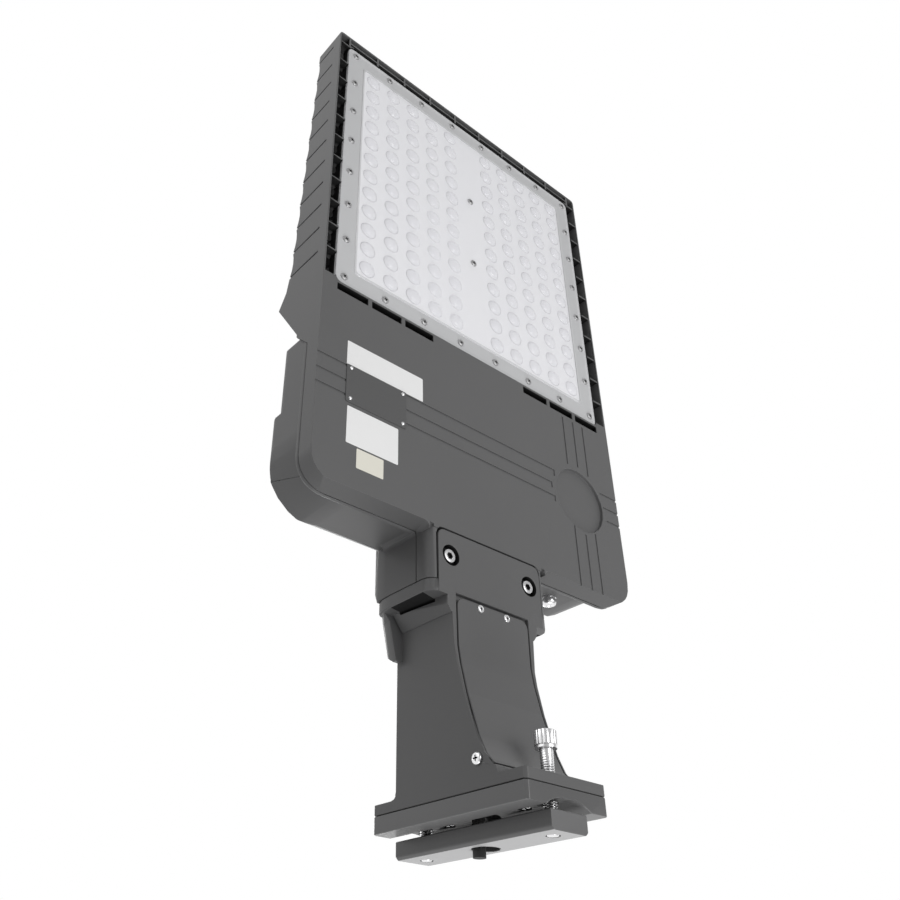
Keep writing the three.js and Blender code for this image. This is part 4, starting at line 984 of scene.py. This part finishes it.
for side in ("left", "right"):
    bolt = socket_bolt(
        f"neck_bolt_{side}", head=0.0052, height=0.0052, shank=0.003, length=0.0242,
        flat=0.0024, depth=0.0026, pitch=0.001, thread_from=0.009, points=48)
    fit_fastener(f"neck_bolt_{side}", f"neck_socket_bolt_{side}", bolt, (0, 0, 1))
for end in ("lower", "upper"):
    low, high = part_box(f"pole_bolt_{end}")
    bolt = socket_bolt(
        f"pole_bolt_{end}", head=0.0073, height=0.0096, shank=0.0043,
        length=high.x - low.x, flat=0.0036, depth=0.005, pitch=0.0015, thread_from=0.011,
        knurl=0.0003, points=96)
    fit_fastener(f"pole_bolt_{end}", f"pole_socket_bolt_{end}", bolt, (-1, 0, 0))
    screw = pan_screw(f"adapter_screw_{end}", head=0.005, height=0.0032, shank=0.0028,
                      length=0.0122)
    fit_fastener(f"adapter_screw_{end}", f"adapter_pan_{end}", screw, (1, 0, 0))
    print(f"pole bolt {end}, mm: {1000 * (high.x - low.x):.1f} long")

# %% [markdown]
# The washers are split springs: a square wire bent to one turn, with its two ends a little
# apart and offset. A short sweep of a rectangle makes one.


# %% Split washers
WASHER_OUTER, WASHER_INNER = 0.0071, 0.0047
WASHER_GAP = math.radians(12)
WASHER_TWIST = 0.00035
WASHER_PLAY = 0.0002
WASHER_EDGE = 0.00025


def split_washer(end, steps=40):
    """A square wire bent round a bolt, with its two ends apart."""
    name, node = f"split_washer_{end}", f"pole_washer_{end}"
    mid, low, high = centre(node)
    form = bmesh.new()
    rows = []
    for k in range(steps + 1):
        a = WASHER_GAP / 2 + (2 * math.pi - WASHER_GAP) * k / steps
        lift = WASHER_TWIST * (k / steps - 0.5)
        x0 = low.x + WASHER_PLAY + lift
        x1 = high.x - WASHER_PLAY + lift
        section = ((x0, WASHER_INNER), (x0, WASHER_OUTER),
                   (x1, WASHER_OUTER), (x1, WASHER_INNER))
        rows.append([
            form.verts.new((x, mid.y + r * math.cos(a), mid.z + r * math.sin(a)))
            for x, r in section
        ])
    mesh = closed_mesh(name, form, rows)
    mesh.shade_smooth()
    mesh = bevelled(mesh, WASHER_EDGE)
    add_piece(name, mesh, steel, node=node)
    print(f"{name}: {1000 * (high.x - low.x):.1f} mm thick")


split_washer("lower")
split_washer("upper")

# %% Screws of the wiring hatch and the earth screw
for side in ("left", "right"):
    screw = pan_screw(f"hatch_pan_{side}", head=0.0029, height=0.0013, shank=0.0015,
                      length=0.0103)
    fit_fastener(f"wiring_cover_screw_{side}", f"hatch_pan_{side}", screw, (0, 0, 1))
screw = pan_screw("earth_pan", head=0.004, height=0.0022, shank=0.0015, length=0.0112)
fit_fastener("arm_side_screw", "earth_pan", screw, (0, 1, 0))

# %% [markdown]
# ## Breather plug
# A sealed light breathes through a small plug. The real one is bright, with a round cap,
# shallow finger scallops and a groove under the rim that lets air to the membrane.

# %% The plug
PLUG_CAP = 0.007
PLUG_STEM = 0.0043
SCALLOPS, SCALLOP_DEPTH = 8, 0.00012
ROUND = 72
plug_low, plug_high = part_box("vent_plug")
plug_radius = (plug_high.y - plug_low.y) / 2
plug_length = plug_high.x - plug_low.x
grip = knurled(plug_radius, SCALLOP_DEPTH, SCALLOPS, ROUND)


def plug_rings(*profile):
    """Rings of the plug from heights and shares of its radius."""
    return [(height, circle(share * plug_radius, ROUND)) for height, share in profile]


plug_mesh = loft("breather_plug", [
    *plug_rings((0.0006, 0.3), (0.0, 0.42), (0.0, 0.7), (0.0005, 0.84), (0.0014, 0.94)),
    (0.0026, grip),
    (PLUG_CAP - 0.0022, grip),
    *plug_rings((PLUG_CAP - 0.0018, 0.88), (PLUG_CAP - 0.0012, 0.88),
                (PLUG_CAP - 0.001, 1), (PLUG_CAP, 1)),
    (PLUG_CAP, circle(0.0045, ROUND)),
    (plug_length, circle(PLUG_STEM, ROUND)),
])
fit_fastener("vent_plug", "breather_plug", plug_mesh, (1, 0, 0))
print(f"plug, mm: {2000 * plug_radius:.1f} wide, {1000 * plug_length:.1f} long")

# %% [markdown]
# ## Labels and plate
# The front plate of the light carries three paper labels and a small painted plate held by
# four rivets. They are blank here. Each is a thin rounded slab that lies on the paint.

# %% Blank labels
FACE = -0.018
LABEL_THICKNESS, LABEL_CORNER = 0.00018, 0.0008
PLATE_THICKNESS, PLATE_CORNER = 0.0006, 0.0015
SLAB_RIM = 0.00008
SUNK = 0.00005


def slab(name, x_range, y_range, material, thick=LABEL_THICKNESS, radius=LABEL_CORNER):
    """A rounded sheet on the front plate. Its back is sunk a hair into the paint."""
    (x0, x1), (y0, y1), rim = x_range, y_range, SLAB_RIM
    outline = rounded_outline(x0, x1, y0, y1, radius, 4)
    add_stacked(name, [
        (outline, FACE + SUNK),
        (outline, FACE - thick + rim),
        (rounded_outline(x0 + rim, x1 - rim, y0 + rim, y1 - rim, radius, 4), FACE - thick),
    ], material)
    print(f"{name}, mm: {1000 * (x1 - x0):.1f} by {1000 * (y1 - y0):.1f}")


slab("label_wide", (0.2989, 0.3211), (-0.1394, -0.0655), paper)
slab("plate_riveted", (0.2650, 0.2989), (-0.1394, -0.0825), plate_dark, PLATE_THICKNESS,
     PLATE_CORNER)
slab("label_square", (0.2305, 0.2620), (-0.1372, -0.0900), paper)
slab("label_small", (0.2130, 0.2291), (-0.1275, -0.1033), cream_paper)

# %% Rivets
RIVET_X, RIVET_Y = (0.2687, 0.2962), (-0.1352, -0.0860)
RIVET_RINGS = ((-0.0009, 0.0003), (-0.0008, 0.0008), (-0.0005, 0.0013), (0.0, 0.0015),
               (0.0004, 0.0015))
rivet_mesh = turned("rivet", RIVET_RINGS, 24)
rivet_parts = [
    (rivet_mesh, Matrix.Translation((x, y, FACE - PLATE_THICKNESS)), 0)
    for x in RIVET_X for y in RIVET_Y
]
add_joined("plate_rivets", rivet_parts, [steel], SHARP_ANGLE)
print("rivets:", len(rivet_parts))

# %% [markdown]
# ## Rear of the cover
# The photograph doesn't show the rear. Such covers are held by six screws in shallow
# bosses, and that is what is made here. A ray down onto the cover finds the height of
# its face at each place.


# %% Screws on the rear cover
ABOVE = 0.2
COVER_SCREW_X, COVER_SCREW_Y = (0.222, 0.318), (-0.138, 0.0, 0.138)
HEAD_ABOVE_FACE = 0.0028
BOSS_RINGS = ((-0.0012, 0.0042), (-0.0014, 0.0052), (-0.0012, 0.0060), (0.0, 0.0068),
              (0.0008, 0.0068))


def face_height(piece, x, y):
    """The height of a piece's upper face at a place."""
    hit, place = piece.ray_cast(Vector((x, y, ABOVE)), Vector((0, 0, -1)))[:2]
    if not hit:
        raise ValueError(f"nothing under {x}, {y}")
    return place.z


boss_mesh = turned("cover_boss", BOSS_RINGS, 40)
bpy.context.view_layer.update()
cover_screw = pan_screw("cover_screw", head=0.0038, height=0.0018, shank=0.0018,
                        length=0.006)
FLIP = Matrix.Rotation(math.pi, 4, "X")
boss_parts, screw_parts = [], []
for x in COVER_SCREW_X:
    for y in COVER_SCREW_Y:
        z = face_height(cover, x, y)
        boss_parts.append((boss_mesh, Matrix.Translation((x, y, z)) @ FLIP, 0))
        top = Matrix.Translation((x, y, z + HEAD_ABOVE_FACE))
        screw_parts.append((cover_screw, top @ FLIP, 0))
add_joined("cover_bosses", boss_parts, [head_paint], PACKAGE_ANGLE,
           "driver_cover")
add_joined("cover_screws", screw_parts, [steel, recess_painted_shade],
           body="driver_cover")
print("rear cover screws:", len(screw_parts))

# %% [markdown]
# ## The supply lead
# A black lead runs from the terminal block through the gland, the neck and the arm, and
# ends as a short stub in the middle hole of the clamp bar, as in the photograph. It is one
# smooth tube on the same route as its CAD solid, and nothing of it hangs free.

# %% Tubes along a route
def eased(points, steps):
    """A smooth line through points, by Catmull-Rom."""
    points = [Vector(p) for p in points]
    padded = [points[0] * 2 - points[1], *points, points[-1] * 2 - points[-2]]
    line = []
    for a, b, c, d in zip(padded, padded[1:], padded[2:], padded[3:]):
        for k in range(steps):
            t = k / steps
            line.append(0.5 * ((2 * b) + (c - a) * t + (2 * a - 5 * b + 4 * c - d) * t * t
                               + (3 * b - a - 3 * c + d) * t ** 3))
    return line + [points[-1]]


def tube(name, line, radius, sides=16):
    """A closed round tube that follows a line of points."""
    form = bmesh.new()
    side = Vector((0, 0, 1))
    rows = []
    for i, place in enumerate(line):
        ahead = (line[min(i + 1, len(line) - 1)] - line[max(i - 1, 0)]).normalized()
        side = (side - ahead * side.dot(ahead)).normalized()
        across = ahead.cross(side)
        rows.append([
            form.verts.new(place + radius * (side * math.cos(a) + across * math.sin(a)))
            for a in angles(sides)
        ])
    mesh = closed_mesh(name, form, rows)
    smooth(mesh, SHARP_ANGLE)
    return mesh


# %% The jacket
lead_low, lead_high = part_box("supply_lead")
LEAD_RADIUS = 0.0043
LEAD_ROUTE = [
    (lead_high.x, 0, 0.008), (0.1535, 0, 0.008), (0.0812, -0.001, 0.006),
    (0.019, -0.002, 0.004), (lead_low.x, -0.002, 0.004),
]
lead_line = eased(LEAD_ROUTE, 10)
lead = add_piece("lead_jacket", tube("lead_jacket", lead_line, LEAD_RADIUS, 24), rubber,
                 node="supply_lead")

# %% [markdown]
# ## Wiring in the driver bay
# The bay is seen when its cover is lifted. The driver carries a blank sticker. Single wires
# join it to the terminal block and the surge block, and two leave for the boards through a
# rubber grommet in the wall. Each is a tube with a soft bend and a little slack.

# %% Wires
WIRE_RADIUS = 0.0011
SUNK_END = 0.001
BAY_WALL = Vector((0.3245, 0.112, -0.004))
driver_low, driver_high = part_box("led_driver")
block_low, block_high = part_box("terminal_block")
surge_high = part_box("surge_protector")[1]
bay_gap = (block_high.x + driver_low.x) / 2
beyond = driver_high.y + 0.012


def wire(name, colour, route):
    """A single wire. Both its ends go into parts of the light."""
    line = eased(route, 8)
    piece = add_piece(name, tube(name, line, WIRE_RADIUS, 12), wire_finishes[colour])


for k, colour in enumerate(("black", "white")):
    y, z, out = 0.004 + 0.005 * k, 0.004 + 0.003 * k, 0.004 * k
    wire(f"wire_driver_{colour}", colour, [
        (block_high.x - SUNK_END, y, z),
        (bay_gap - 0.002, y + 0.012, z + 0.001),
        (bay_gap, driver_high.y - 0.012, z),
        (driver_low.x + 0.012, beyond + out, z - 0.001),
        (0.282 + 1.5 * out, beyond - 0.002 + out, z),
        (0.286 + out, driver_high.y - SUNK_END, z),
    ])
for k, colour in enumerate(("black", "white", "green")):
    y, z = -0.004 - 0.004 * k, -0.003 + 0.004 * k
    wire(f"wire_surge_{colour}", colour, [
        (block_high.x - SUNK_END, y, z),
        (bay_gap - 0.001, y - 0.014, z + 0.001),
        (bay_gap, surge_high.y + 0.004, z),
        (surge_high.x - SUNK_END, surge_high.y - 0.01 - 0.006 * k, z),
    ])
for k, colour in enumerate(("red", "blue")):
    x, z = 0.303 - 0.006 * k, 0.004 * k
    wire(f"wire_board_{colour}", colour, [
        (x, driver_high.y - SUNK_END, -0.003 + z),
        (x + 0.001, beyond + 0.004, -0.004 + z),
        (0.312, 0.104, -0.005 + z),
        (BAY_WALL.x, BAY_WALL.y, BAY_WALL.z + z - 0.002),
    ])

# %% Grommet
GROMMET_RINGS = ((0.0, 0.0035), (-0.0012, 0.0042), (-0.0018, 0.0058), (-0.0012, 0.0068),
                 (0.0, 0.0068))
grommet = turned("wall_grommet", GROMMET_RINGS, 32)
grommet.transform(aimed((1, 0, 0), BAY_WALL))
add_piece("wall_grommet", grommet, rubber)
print("grommet faces:", len(grommet.polygons))

# %% Sticker and terminal screws
STICKER_INSET, STICKER_CORNER = (0.006, 0.02), 0.002
STICKER_HEIGHTS = (-0.00005, 0.00012)
TERMINAL_Y, TERMINAL_RISE = (-0.009, 0.0, 0.009), 0.0011
plan = rounded_outline(
    driver_low.x + STICKER_INSET[0], driver_high.x - STICKER_INSET[0],
    driver_low.y + STICKER_INSET[1], driver_high.y - STICKER_INSET[1], STICKER_CORNER, 4)
add_stacked("driver_sticker", [(plan, driver_high.z + rise) for rise in STICKER_HEIGHTS],
            paper)
clamp_screw = pan_screw("clamp_screw", head=0.0026, height=0.0012, shank=0.0014,
                        length=0.006)
block_mid = (block_low.x + block_high.x) / 2
top = block_high.z + TERMINAL_RISE
clamp_parts = [(clamp_screw, Matrix.Translation((block_mid, y, top)) @ FLIP, 0)
               for y in TERMINAL_Y]
add_joined("terminal_screws", clamp_parts, [brass, recess_painted_shade])
print("terminal screws:", len(clamp_parts))

# %% [markdown]
# ## Floor
# The light is shown on its own, so the floor is a plain pale sheet well below it, marked
# as stage. It gives the soft light from below that a studio floor gives.

# %% Floor sheet
FLOOR_HEIGHT, FLOOR_THICKNESS = -1.5, 0.01
FLOOR_X, FLOOR_Y, FLOOR_CORNER = (-3.5, 4), (-3.5, 3.5), 1.0
plan = rounded_outline(*FLOOR_X, *FLOOR_Y, FLOOR_CORNER, 12)
floor_mesh = stacked("floor", [
    (plan, FLOOR_HEIGHT - FLOOR_THICKNESS), (plan, FLOOR_HEIGHT)
])
floor_mesh.materials.append(floor_pale)
floor = linked("floor", floor_mesh)
floor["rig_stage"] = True
print("floor at", FLOOR_HEIGHT)

# %% [markdown]
# ## Size of the visual model
# The visual model must stay inside the CAD box. The last line prints the box of the visual
# model.

# %% Sizes and finish
low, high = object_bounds()
print("visual box, mm:", [round(1000 * v, 1) for v in (*low, *high)])
